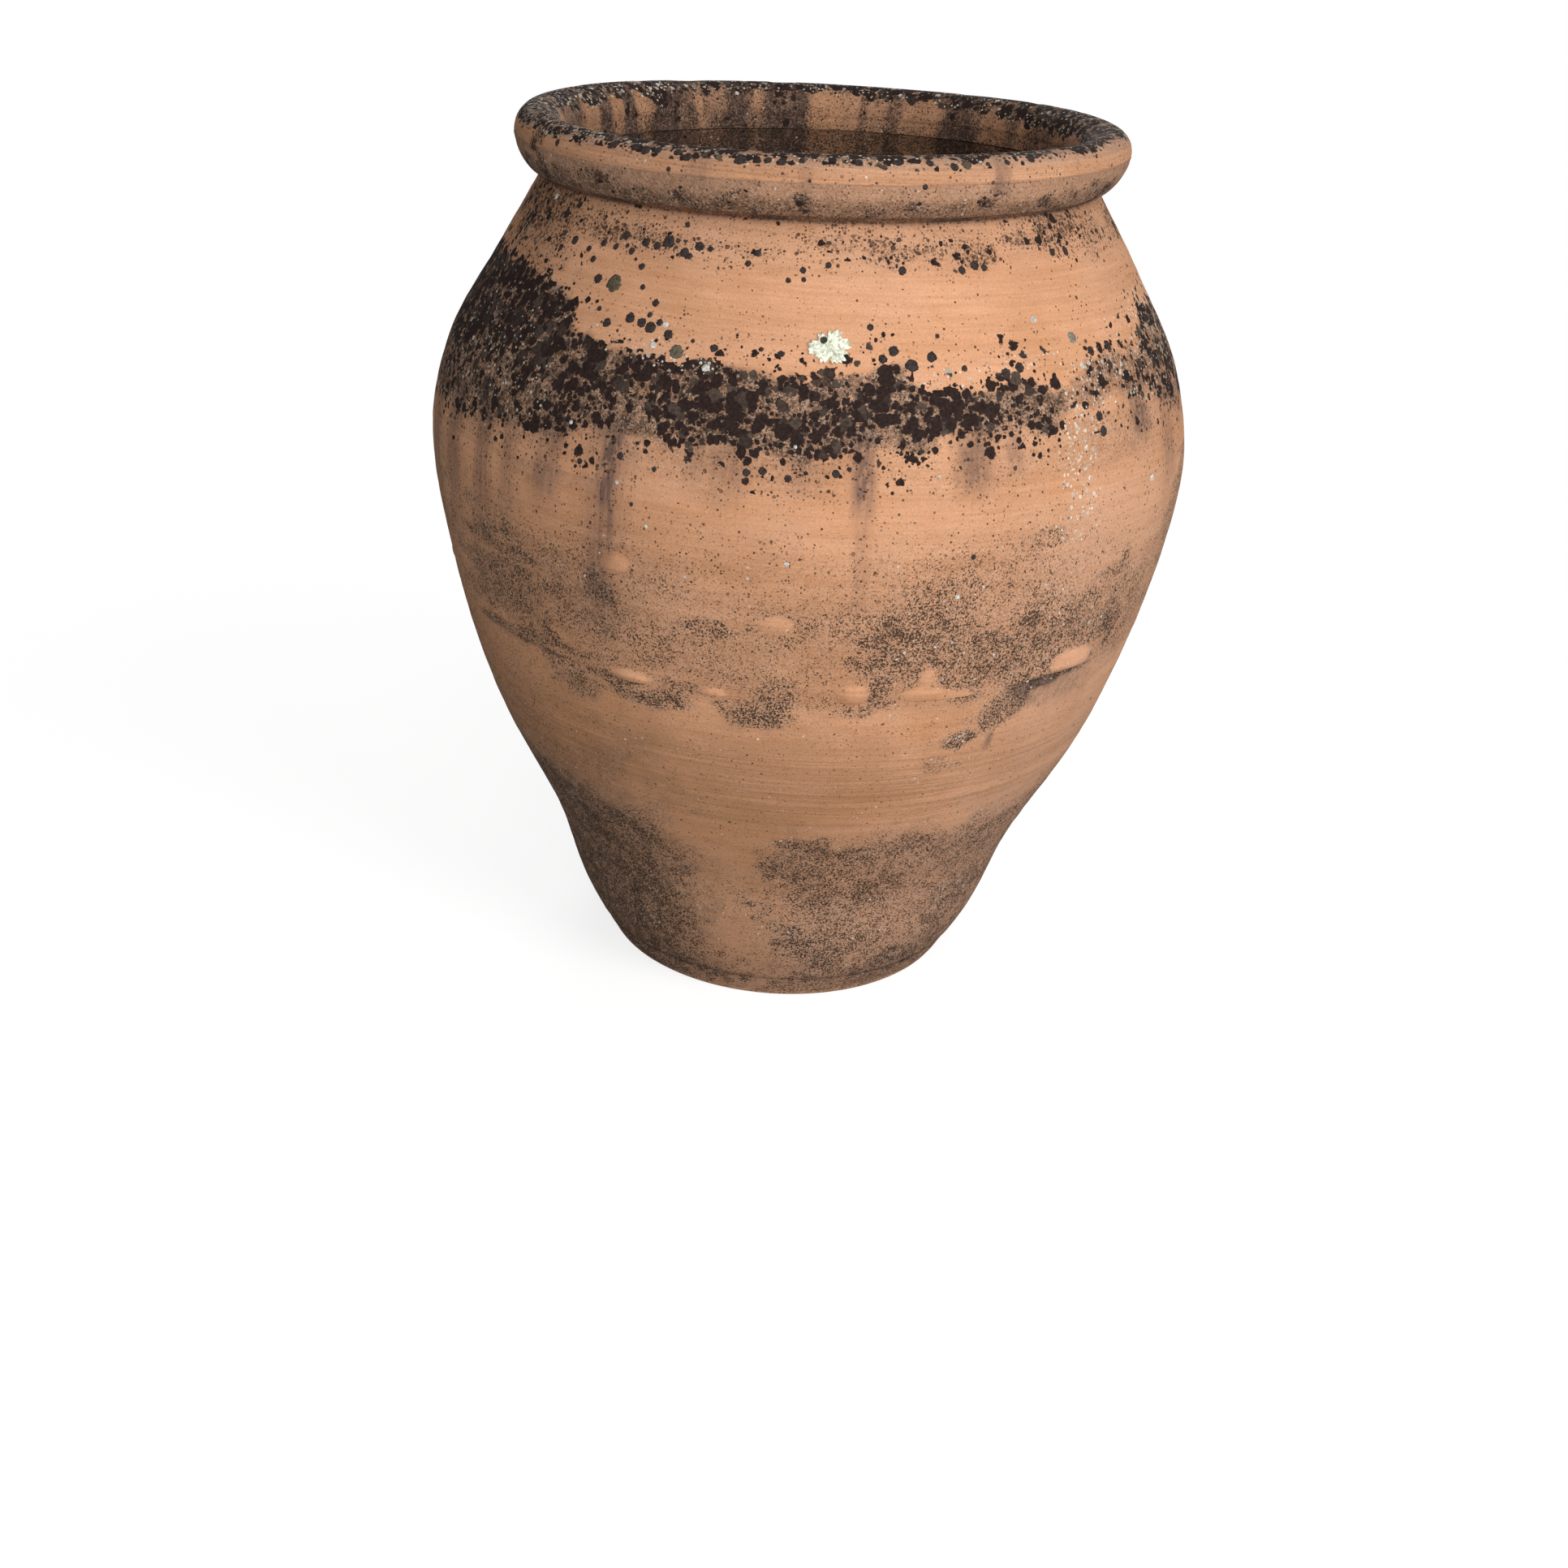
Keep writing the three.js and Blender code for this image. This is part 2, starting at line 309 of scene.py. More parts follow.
def fired_clay_effect():
    """Fired clay: brushed by wet fingers along the turning, clouded by the kiln, and sandy."""
    tree, given, result = effect(
        "fired clay",
        [
            ("Light Clay", "NodeSocketColor", clay_light),
            ("Deep Clay", "NodeSocketColor", clay_deep),
            ("Rings", "NodeSocketFloat", 0.0),
        ],
        [("Colour", "NodeSocketColor"), ("Height", "NodeSocketFloat")],
    )
    pinker_clay = (0.59, 0.335, 0.215, 1)
    dark_grain = (0.20, 0.08, 0.045, 1)
    place = on_piece(tree)
    turned = squeezed(tree, place, (5, 5, 105))
    brushed = squeezed(tree, place, (22, 22, 520))
    bands = noise(tree, turned, 1.0, 3.0, 0.6)
    lines = noise(tree, brushed, 1.0, 3.0)
    clouds = noise(tree, place, 8.0, 5.0, 0.62)
    sand = noise(tree, place, 820.0, 3.0)
    grit = add(tree, "ShaderNodeTexVoronoi", {"Vector": place, "Scale": 330.0})
    deep = ramp(tree, bands, 0.30, 0.72)
    deep = maths(tree, "MULTIPLY_ADD", deep, 0.42, ramp(tree, clouds, 0.38, 0.66, 0.0, 0.5))
    deep = maths(tree, "MULTIPLY_ADD", ramp(tree, lines, 0.35, 0.7), 0.34, deep)
    ribbed = squeezed(tree, place, (3, 3, 420))
    ribs = noise(tree, ribbed, 1.0, 4.0, 0.7)
    ringed = multiplied(tree, ramp(tree, ribs, 0.40, 0.62), given.outputs["Rings"])
    colour = blend(tree, deep, given.outputs["Light Clay"], given.outputs["Deep Clay"])
    pinker = noise(tree, place, 19.0, 6.0, 0.7)
    pinker = ramp(tree, pinker, 0.42, 0.68, 0.0, 0.28)
    colour = blend(tree, pinker, colour, pinker_clay)
    grainy = ramp(tree, sand, 0.30, 0.70, 0.87, 1.06)
    grainy = multiplied(tree, grainy, maths(tree, "MULTIPLY_ADD", ringed, -0.30, 1.02))
    colour = scaled(tree, colour, grainy)
    inside_grain = maths(tree, "LESS_THAN", grit.outputs["Distance"], 0.21)
    chance = add(tree, "ShaderNodeSeparateColor", {0: grit.outputs["Color"]}).outputs[0]
    stony = multiplied(tree, inside_grain, maths(tree, "GREATER_THAN", chance, 0.82))
    colour = blend(tree, multiplied(tree, stony, 0.65), colour, dark_grain)
    relief = maths(tree, "MULTIPLY_ADD", lines, 0.5, multiplied(tree, sand, 0.6))
    tree.links.new(colour, result.inputs["Colour"])
    tree.links.new(relief, result.inputs["Height"])
    return tree


def colonies_effect():
    """Round colonies of lichen or pale crust: more of them, and larger, where Cover is high."""
    tree, given, result = effect(
        "round colonies",
        [
            ("Cover", "NodeSocketFloat", 0.0),
            ("Spacing", "NodeSocketFloat", 0.01),
            ("Fill", "NodeSocketFloat", 0.3),
            ("Crooked", "NodeSocketVector", (0, 0, 0)),
        ],
        [("Mask", "NodeSocketFloat"), ("Age", "NodeSocketFloat")],
    )
    place = on_piece(tree)
    push = multiplied(tree, given.outputs["Spacing"], 0.55)
    pushed = scaled(tree, given.outputs["Crooked"], push)
    bent = add(tree, "ShaderNodeVectorMath", {0: place, 1: pushed}, operation="ADD")
    density = maths(tree, "DIVIDE", 1.0, given.outputs["Spacing"])
    cells = add(tree, "ShaderNodeTexVoronoi", {"Vector": bent.outputs[0], "Scale": density})
    chance = add(tree, "ShaderNodeSeparateColor", {0: cells.outputs["Color"]})
    grown = maths(tree, "LESS_THAN", chance.outputs[0], given.outputs["Cover"])
    reach = maths(tree, "MULTIPLY_ADD", chance.outputs[1], 0.26, 0.20)
    filled = multiplied(tree, given.outputs["Cover"], given.outputs["Fill"])
    inside = maths(tree, "SUBTRACT", maths(tree, "ADD", reach, filled), cells.outputs["Distance"])
    tree.links.new(multiplied(tree, grown, ramp(tree, inside, 0.0, 0.07)), result.inputs["Mask"])
    tree.links.new(chance.outputs[2], result.inputs["Age"])
    return tree


def fine_algae_effect():
    """Fine, crooked dark marks of algae, 1 or 2 mm long, closing up where Cover is high."""
    tree, given, result = effect(
        "fine algae",
        [("Cover", "NodeSocketFloat", 0.0)],
        [("Mask", "NodeSocketFloat")],
    )
    place = on_piece(tree)
    crumbs = noise(tree, place, 660.0, 4.0, distortion=0.7)
    curls = noise(tree, place, 430.0, 1.0, distortion=1.5)
    clumps = noise(tree, place, 85.0, 4.0, 0.6)
    cover = multiplied(tree, given.outputs["Cover"], ramp(tree, clumps, 0.36, 0.60, 0.72, 1.22))
    bare = maths(tree, "MULTIPLY_ADD", cover, -0.205, 0.680)
    crumb = ramp(tree, maths(tree, "SUBTRACT", crumbs, bare), 0.0, 0.03)
    off_line = maths(tree, "ABSOLUTE", maths(tree, "SUBTRACT", curls, 0.5))
    width = multiplied(tree, cover, 0.050)
    curl = ramp(tree, maths(tree, "SUBTRACT", width, off_line), -0.004, 0.010)
    broken = ramp(tree, crumbs, 0.44, 0.52)
    mask = maths(tree, "MAXIMUM", crumb, multiplied(tree, curl, broken))
    present = ramp(tree, given.outputs["Cover"], 0.01, 0.08)
    tree.links.new(multiplied(tree, mask, present), result.inputs["Mask"])
    return tree


def dirt_crumbs_effect():
    """Dirt and dead algae dried to crumbs under a millimetre across: dark brown, brown and beige."""
    tree, _, result = effect("dirt crumbs", [], [("Colour", "NodeSocketColor")])
    dark_brown = (0.058, 0.037, 0.027, 1)
    brown = (0.200, 0.125, 0.085, 1)
    beige = (0.385, 0.272, 0.200, 1)
    place = on_piece(tree)
    crumbs = noise(tree, place, 520.0, 4.0, 0.65)
    blotches = noise(tree, place, 140.0, 3.0)
    tone = maths(tree, "MULTIPLY_ADD", blotches, 0.40, crumbs)
    colour = blend(tree, ramp(tree, tone, 0.62, 0.70), dark_brown, brown)
    colour = blend(tree, ramp(tree, tone, 0.725, 0.80), colour, beige)
    tree.links.new(colour, result.inputs["Colour"])
    return tree


fired_clay = fired_clay_effect()
colonies = colonies_effect()
fine_algae = fine_algae_effect()
dirt_crumbs = dirt_crumbs_effect()
coats = ("Damp", "Bloom", "Film", "Drips", "Algae", "Specks", "Lichen", "Pale")


def weathering_effect():
    """What years outdoors left on the clay, coat over coat, with the painted shade and sheen laid on in the
    same coats. Each coat's input says how thickly it covers, from 0 to 1. Crust is where lichen or algae
    stand on the surface."""
    tree, given, result = effect(
        "weathering",
        [("Clay", "NodeSocketColor", clay_light), *((coat, "NodeSocketFloat", 0.0) for coat in coats)],
        [("Colour", "NodeSocketColor"), ("Crust", "NodeSocketFloat")],
    )
    damp, bloom, film, drips, algae, specks, lichen, pale = (given.outputs[coat] for coat in coats)
    damp_and_shade_brown = (0.300, 0.150, 0.068, 1)
    pale_bloom_and_sheen = (0.570, 0.395, 0.300, 1)
    drip_and_shade_brown = (0.125, 0.076, 0.062, 1)
    algae_black = (0.040, 0.025, 0.017, 1)
    speck_brown = (0.058, 0.031, 0.021, 1)
    lichen_black = (0.022, 0.0125, 0.0105, 1)
    lichen_brown = (0.062, 0.044, 0.034, 1)
    crust_grey = (0.33, 0.28, 0.22, 1)
    crust_white = (0.70, 0.63, 0.54, 1)
    place = on_piece(tree)
    wander = add(tree, "ShaderNodeTexNoise", {"Vector": place, "Scale": 300.0, "Detail": 3.0})
    sockets = {0: wander.outputs["Color"], 1: (0.5, 0.5, 0.5)}
    crooked = add(tree, "ShaderNodeVectorMath", sockets, operation="SUBTRACT").outputs[0]

    def laid_on(factor, strength, below, above):
        return blend(tree, multiplied(tree, factor, strength), below, above)

    def spots(cover, spacing, fill):
        sockets = {"Cover": cover, "Spacing": spacing, "Fill": fill, "Crooked": crooked}
        return add(tree, "ShaderNodeGroup", sockets, node_tree=colonies).outputs

    patchy = noise(tree, place, 130.0, 5.0, 0.65)
    patchy = ramp(tree, patchy, 0.36, 0.56, 0.62, 1.0)
    falling = squeezed(tree, place, (260, 260, 22))
    streaks = noise(tree, falling, 1.0, 3.0)
    streaks = ramp(tree, streaks, 0.32, 0.60, 0.50, 1.0)
    # The damp coat is brown from damp, and also painted shade on the side away from the key light and under
    # the rim roll.
    colour = laid_on(damp, 0.9, given.outputs["Clay"], damp_and_shade_brown)
    # The bloom coat is a pale bloom, and over the right side it is painted sheen.
    colour = laid_on(multiplied(tree, bloom, patchy), 0.80, colour, pale_bloom_and_sheen)
    # The film coat is dirt, and in places painted shade: on the rim's underside, below the fold on the belly
    # and low on the left side.
    dirt_and_shade = add(tree, "ShaderNodeGroup", node_tree=dirt_crumbs).outputs["Colour"]
    colour = laid_on(multiplied(tree, film, patchy), 0.94, colour, dirt_and_shade)
    # The drips coat is runs of dirt, and also painted shadow lines: in the groove under the rim roll, under
    # the lapped edge of the belly and in the cut line.
    colour = laid_on(multiplied(tree, drips, streaks), 0.94, colour, drip_and_shade_brown)
    # The algae coat also paints thin shadow lines under the lapped edge and in the crease.
    marks = add(tree, "ShaderNodeGroup", {"Cover": algae}, node_tree=fine_algae).outputs["Mask"]
    colour = laid_on(marks, 0.93, colour, algae_black)
    for spacing, share in ((0.0043, multiplied(tree, specks, specks)), (0.0024, specks)):
        crumbs = spots(share, spacing, 0.12)
        faded = multiplied(tree, crumbs["Mask"], ramp(tree, crumbs["Age"], 0.1, 1.0, 1.0, 0.45))
        colour = laid_on(faded, 0.92, colour, speck_brown)
    flecks = noise(tree, place, 400.0, 4.0, 0.6)
    mottled = ramp(tree, flecks, 0.34, 0.66, 0.72, 1.45)
    small = multiplied(tree, lichen, 0.66)
    large = multiplied(tree, maths(tree, "POWER", lichen, 1.4), 0.90)
    standing = marks
    sizes = ((0.0040, small), (0.0062, small), (0.0086, large), (0.0099, large), (0.0122, large))
    for spacing, cover in sizes:
        discs = spots(cover, spacing, 0.20)
        aged = blend(tree, ramp(tree, discs["Age"], 0.68, 1.0), lichen_black, lichen_brown)
        aged = scaled(tree, aged, mottled)
        colour = blend(tree, discs["Mask"], colour, aged)
        standing = maths(tree, "MAXIMUM", standing, discs["Mask"])
    for spacing, cover in ((0.0058, multiplied(tree, pale, pale)), (0.0029, pale)):
        crust = spots(cover, spacing, 0.05)
        bleached = blend(tree, crust["Age"], crust_grey, crust_white)
        colour = laid_on(crust["Mask"], 0.88, colour, bleached)
    tree.links.new(colour, result.inputs["Colour"])
    tree.links.new(standing, result.inputs["Crust"])
    return tree


weathering = weathering_effect()


def new_material(piece):
    """A material on the piece. Returns its node tree and its Principled shader."""
    material = bpy.data.materials.new(piece.name)
    material.use_nodes = True
    piece.data.materials.append(material)
    return material.node_tree, material.node_tree.nodes["Principled BSDF"]


def weathered_clay(piece):
    """The jar's clay with what has grown on it, and with painted shade and sheen, from what is painted on the
    piece.
    """
    tree, shader = new_material(piece)

    def painted(name):
        return add(tree, "ShaderNodeAttribute", attribute_name=name).outputs["Fac"]

    colours = {"Light Clay": clay_light, "Deep Clay": clay_deep}
    clay = add(tree, "ShaderNodeGroup", {**colours, "Rings": painted("rings")}, node_tree=fired_clay)
    growth = {coat: painted(coat.lower()) for coat in coats}
    weathered = add(tree, "ShaderNodeGroup", {"Clay": clay.outputs["Colour"], **growth}, node_tree=weathering)
    height = maths(tree, "MULTIPLY_ADD", weathered.outputs["Crust"], 0.9, clay.outputs["Height"])
    bump = add(tree, "ShaderNodeBump", {"Strength": 0.55, "Distance": 0.0007, "Height": height})
    tree.links.new(weathered.outputs["Colour"], shader.inputs["Base Color"])
    tree.links.new(ramp(tree, weathered.outputs["Crust"], 0.0, 1.0, 0.82, 0.95), shader.inputs["Roughness"])
    tree.links.new(bump.outputs[0], shader.inputs["Normal"])
    shader.inputs["Specular IOR Level"].default_value = 0.16


def join_frame(piece, node):
    """The piece stands for its solid: the solid is hidden, and the piece rides with the root."""
    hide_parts(node)
    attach(piece, "root")


def rows(points, step):
    """Points of an outline, with more put between them so that none are farther apart than step."""
    filled = [np.array(points[0])]
    for start, end in zip(points, points[1:]):
        start, end = np.array(start), np.array(end)
        count = max(1, math.ceil(np.linalg.norm(end - start) / step))
        filled += [start + (end - start) * i / count for i in range(1, count + 1)]
    return np.array(filled)


# The uneven line that the foot's algae grow up to, as azimuths and heights.
foot_algae_top = [
    (-180, 0.20), (-120, 0.235), (-70, 0.24), (-45, 0.225), (-25, 0.215), (-17, 0.190), (-8, 0.165),
    (-3, 0.200), (3, 0.216), (12, 0.206), (20, 0.222), (30, 0.214), (45, 0.228), (60, 0.238),
    (120, 0.21), (180, 0.20),
]


def foot_algae(height):
    """Fine algae over the foot up to an uneven line, with a cleaner strip down the front."""
    top = at_columns(foot_algae_top)
    ragged = 0.012 * mottle(turn, height, 0.03, 0.02, 51) + 0.008 * mottle(turn, height, 0.012, 0.010, 53)
    left = smooth_step(-12, -45, azimuth)
    cover = smooth_step(top + 0.020, top - 0.036, height + ragged)
    cover = cover * (0.80 + 0.16 * left + 0.18 * mottle(turn, height, 0.06, 0.03, 52))
    clean = [
        (-10.5, 0.095, 11, 0.100, 0.72),
        (-7, 0.109, 14, 0.011, 0.60),
        (-2, 0.042, 15, 0.020, 0.55),
        (-12, 0.205, 8, 0.030, 0.50),
    ]
    cover = cover * (1 - most(height, clean))
    dark = [
        (3, 0.202, 7, 0.014, 0.95),
        (15, 0.188, 13, 0.014, 0.95),
        (7, 0.082, 7, 0.019, 0.98),
        (-7, 0.122, 3.4, 0.007, 0.90),
        (-24, 0.088, 7, 0.016, 0.80),
        (-27, 0.150, 9, 0.030, 0.70),
        (34, 0.036, 24, 0.022, 1.00),
        (52, 0.065, 16, 0.060, 0.90),
        (-45, 0.060, 24, 0.055, 0.95),
        (-44, 0.200, 10, 0.022, 0.80),
    ]
    thin = 0.20 * smooth_step(top + 0.02, top - 0.02, height)
    return np.maximum.reduce([cover, thin, 0.95 * most(height, dark)])


def damp_and_side_shade(height):
    """Brown from damp ground, strongest at the foot, with painted shade: browner on the left side, away from
    the key light, and less brown on the lit right side.
    """
    # Painted shade: the side turned away from the key light gets more of the brown.
    shade = 0.5 - 0.5 * np.cos(turn - math.radians(55))
    rising = np.interp(
        height,
        [0.0, 0.05, 0.12, 0.20, 0.26, 0.33, 0.42, 0.50, 0.58],
        [0.62, 0.52, 0.44, 0.38, 0.26, 0.10, 0.03, 0.01, 0.0],
    )
    # How strong the painted shade on the left side is at each height.
    left = np.interp(height, [0.0, 0.25, 0.40, 0.50, 0.60], [0.32, 0.54, 0.36, 0.10, 0.0])
    # Painted light: the right side, which faces the key light, keeps less of the brown.
    lit_side = sector(-8, 25, 80, 110)
    cloudy = 0.10 * mottle(turn, height, 0.15, 0.06, 53) + 0.10 * mottle(turn, height, 0.035, 0.02, 54)
    cloudy = cloudy * smooth_step(0.54, 0.40, height)
    return rising * (1 - 0.75 * lit_side) + 0.92 * left * smooth_step(0.25, 0.72, shade) + cloudy


slab_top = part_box("floor_slab")[1][2]
slab_rounding = 0.0035
hole_radius = 0.013
hole_chamfer = 0.004
slab_edge_centre = wall_stations[0][1] - slab_rounding
slab_edge = [
    (slab_edge_centre + slab_rounding * math.cos(a), slab_rounding + slab_rounding * math.sin(a))
    for a in np.radians(np.linspace(-90, -10, 6))
]
slab_outline = rows(
    [
        (hole_radius + hole_chamfer, 0.0),
        *slab_edge,
        (float(wall_radius(slab_top)), slab_top),
        (hole_radius + hole_chamfer, slab_top),
        (hole_radius, slab_top - hole_chamfer),
        (hole_radius, hole_chamfer),
    ],
    0.004,
)
slab_radius, slab_height = all_round(slab_outline)
slab_worn = smooth_step(0.10, 0.17, slab_radius) * smooth_step(0.0, 0.004, slab_height)
slab_relief = 0.0009 * mottle(turn, slab_height, 0.04, 0.012, 21) + thrown_surface(slab_height)
slab_radius = slab_radius + slab_worn * slab_relief
floor_slab = ring_of_clay("floor_slab", slab_radius, slab_height)
slab_outside = smooth_step(0.155, 0.17, slab_radius)
slab_grown = foot_algae(slab_height) * slab_outside
paint(
    floor_slab,
    damp=damp_and_side_shade(slab_height) + 0.2 * mottle(turn, slab_height, 0.09, 0.05, 22),
    bloom=0.10 + 0.30 * slab_grown,
    film=0.25 + 0.25 * slab_grown + 0.25 * mottle(turn, slab_height, 0.12, 0.05, 23),
    algae=np.maximum(slab_grown, 0.30 * slab_outside),
    drips=0.55 * smooth_step(slab_top - 0.0035, slab_top, slab_height) * slab_outside,
    specks=0.05,
    pale=0.02,
)
weathered_clay(floor_slab)
join_frame(floor_slab, "floor_slab")


# Floor corner coil
# A coil of soft clay pressed into the corner between floor and wall so that it doesn't crack there.
# The potter drew a wet thumb round it, which left its face hollow and a little uneven.
coil_low, coil_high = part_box("floor_corner_coil")
coil_size = coil_high[2] - coil_low[2]
coil_outer = coil_high[0]
coil_wall = float(inner_radius(coil_low[2])) - 0.0004
coil_toe = coil_wall - coil_size
coil_face = [
    (
        (1 - t) ** 2 * coil_outer + 2 * t * (1 - t) * (coil_wall - 0.2 * coil_size) + t**2 * coil_toe,
        (1 - t) ** 2 * coil_high[2] + 2 * t * (1 - t) * (coil_low[2] + 0.25 * coil_size) + t**2 * coil_low[2],
    )
    for t in np.linspace(0, 1, 14)
]
coil_outline = rows([(coil_wall, coil_low[2]), *coil_face], 0.012)
coil_radius, coil_height = all_round(coil_outline)
off_wall = smooth_step(coil_outer - 0.001, coil_outer - 0.008, coil_radius)
thumbed = off_wall * (coil_height > coil_low[2] + 0.001)
coil_radius = coil_radius - thumbed * (0.0012 + 0.0011 * mottle(turn, coil_height, 0.05, 0.05, 24))
floor_corner_coil = ring_of_clay("floor_corner_coil", coil_radius, coil_height)
paint(
    floor_corner_coil,
    damp=0.7 + 0.25 * mottle(turn, coil_height, 0.09, 0.05, 25),
    film=0.6 + 0.3 * mottle(turn, coil_height, 0.15, 0.06, 26),
    algae=0.5 + 0.3 * mottle(turn, coil_height, 0.15, 0.06, 27),
)
weathered_clay(floor_corner_coil)
join_frame(floor_corner_coil, "floor_corner_coil")


# Foot section
# The first thrown section, thick because it carries the rest, scraped smooth while leather-hard.
# It stands near wet ground, so it is pinkish brown and peppered with fine black algae.
outside_step = 0.0022
inside_step = 0.007

# Each joint of the wall is a height outside and a higher one inside.
foot_joint = (0.130, 0.140)


def wall_rows(bottom, top):
    """Grids of heights for a wall section between its bottom and top joints: its outside, going up,
    and its inside, going down."""
    out = np.linspace(bottom[0], top[0], math.ceil((top[0] - bottom[0]) / outside_step))
    ins = np.linspace(top[1], bottom[1], math.ceil((top[1] - bottom[1]) / inside_step))
    return out[:, None] * np.ones(columns), ins[:, None] * np.ones(columns)


def inside_surface(height):
    """How far the unscraped inside stands in from its true curve: broad ridges left by knuckles."""
    spiral = height + 0.014 * turn / (2 * math.pi)
    ridges = 0.0009 * mottle(turn, spiral, 0.9, 0.014, 16) + 0.0008 * mottle(turn, height, 0.25, 0.1, 17)
    return ridges + 0.00030 * mottle(turn, height, 0.7, 0.006, 18)


def wall_section(name, outer, inner, relief=0.0):
    """A wall section between its joints, with relief added to its outside."""
    outside = wall_radius(outer) + thrown_surface(outer) + relief
    inside = inner_radius(inner) - inside_surface(inner)
    inside[[0, -1]] = inner_radius(inner[[0, -1]])
    return ring_of_clay(name, np.concatenate([outside, inside]), np.concatenate([outer, inner]))


# Dark runs down the inside of the mouth, as azimuth, half width and strength.
inside_runs = [
    (116, 6.0, 0.50),
    (128, 2.0, 0.45),
    (145, 4.5, 0.80),
    (163, 2.0, 0.45),
    (170.5, 1.2, 0.40),
    (187, 2.4, 0.95),
    (192, 4.5, 0.85),
    (202, 4.0, 0.90),
    (209, 2.0, 0.40),
    (216, 2.6, 0.70),
    (223, 4.0, 1.00),
    (234, 2.2, 0.95),
    (244, 2.4, 0.80),
    (262, 6.0, 0.60),
    (285, 3.0, 0.50),
    (320, 4.0, 0.60),
    (352, 3.0, 0.50),
    (25, 4.0, 0.55),
    (60, 5.0, 0.60),
    (88, 4.0, 0.55),
]


def inside_growth(height):
    """Coats on the inside of the jar: runs down from the mouth, and a dark film that thickens below, which is
    partly painted shade deeper in the jar.
    """
    ragged = mottle(turn, height, 0.014, 0.022, 41)
    runs = np.zeros_like(height)
    for centre, half_width, strength in inside_runs:
        away = abs(from_azimuth(centre)) / half_width + 0.45 * ragged
        runs = np.maximum(runs, strength * smooth_step(1.6, 0.6, away))
    runs = runs * (0.15 + 0.85 * smooth_step(0.52, 0.67, height + 0.03 * ragged))
    streaks = np.maximum(runs, 0.30 * smooth_step(0.0, 1.0, mottle(turn, height, 0.010, 0.2, 42)))
    # Darker deeper in the jar: dirt, and painted shade where less light reaches.
    deeper_dirt_and_shade = smooth_step(0.731, 0.703, height + 0.006 * mottle(turn, height, 0.05, 0.02, 43))
    return {
        "damp": 0.30 + 0.30 * deeper_dirt_and_shade,
        "bloom": 0.0,
        "film": 0.14 + 0.24 * deeper_dirt_and_shade + 0.20 * ragged * deeper_dirt_and_shade + 0.80 * runs,
        "algae": 0.40 + 0.40 * deeper_dirt_and_shade + 0.50 * runs,
        "drips": streaks,
        "specks": 0.12 + 0.45 * runs,
        "lichen": 0.34 * runs * smooth_step(0.700, 0.735, height),
        "pale": 0.012,
        "rings": 0.35,
    }


def paint_wall(piece, outer, inner, **coats):
    """Paints a wall section's outside with the coats given and its inside with what grows there."""
    both = {}
    for name, inside in inside_growth(inner).items():
        outside = coats.get(name, 0.0) * np.ones_like(outer)
        both[name] = np.concatenate([outside, inside * np.ones_like(inner)])
    paint(piece, **both)


foot_outer, foot_inner = wall_rows((slab_top, slab_top), foot_joint)
foot_relief = 0.0009 * patch(foot_outer, 6, 0.052, 7, 0.010)
foot_relief = foot_relief - 0.0007 * smooth_step(0.004, 0.0, foot_outer - slab_top)
foot_section = wall_section("foot_section", foot_outer, foot_inner, foot_relief)
luted_line = smooth_step(0.0045, 0.0, foot_outer - slab_top)
foot_grown = foot_algae(foot_outer)
# The large patch on the left side is partly painted shade, on the side away from the key light.
foot_film_and_shade = [(-50, 0.07, 34, 0.11, 0.50), (42, 0.03, 24, 0.02, 0.40), (-30, 0.03, 20, 0.02, 0.55)]
foot_crusts = [(-35, 0.070, 5, 0.010, 0.45), (8, 0.098, 1.5, 0.003, 0.5), (30, 0.09, 60, 0.10, 0.05)]
paint_wall(
    foot_section,
    foot_outer,
    foot_inner,
    damp=damp_and_side_shade(foot_outer) + 0.04 * foot_grown,
    # Over the algae the bloom is stronger on the right side, which is painted sheen.
    bloom=0.08 + foot_grown * (0.20 + 0.30 * smooth_step(-20, 15, azimuth)),
    film=0.24 * foot_grown + most(foot_outer, foot_film_and_shade),
    algae=foot_grown,
    drips=0.8 * luted_line,
    specks=0.05,
    rings=0.10,
    pale=most(foot_outer, foot_crusts),
)
weathered_clay(foot_section)
join_frame(foot_section, "foot_section")


# Lower belly section
# The second thrown section, opened out from the foot. The potter's last passes with a wet rib left a
# band of fine rings half way up, and its top edge is what the next section laps over.
seam_height = 0.357
seam_joint = (seam_height, seam_height + 0.010)

# Where the lapped edge strays from its line, as azimuth, half width and rise.
seam_strays = [(-25, 9, -0.003), (44, 8, 0.007), (100, 12, -0.004), (150, 14, 0.005), (-110, 14, 0.004)]


def seam_wave(height):
    """How far the belly seam strays up or down: the lapped edge was never quite level."""
    stray = 0.0022 * mottle(turn, np.zeros_like(height), 0.10, 1.0, 61)
    for centre, half_width, rise in seam_strays:
        stray = stray + rise * np.exp(-((from_azimuth(centre) / half_width) ** 2))
    return stray * smooth_step(0.045, 0.0, abs(height - seam_height))


# Where the lapped edge stands out most, as azimuth, half width and rise.
folds = [
    (-26, 7.0, 0.0010),
    (44.5, 7.0, 0.0052),
    (-50, 15.0, 0.0013),
    (100, 10, 0.0022),
    (140, 12, 0.0012),
    (178, 9.0, 0.0020),
    (-140, 10, 0.0018),
    (-98, 10, 0.0024),
]


def lip_rise(height):
    """How far the lapped edge stands out: hardly at all where it was smoothed, and most at its folds."""
    rise = 0.00016 + 0.00010 * mottle(turn, np.zeros_like(height), 0.06, 1.0, 62)
    for centre, half_width, peak in folds:
        rise = rise + peak * np.exp(-((from_azimuth(centre) / half_width) ** 4))
    return rise
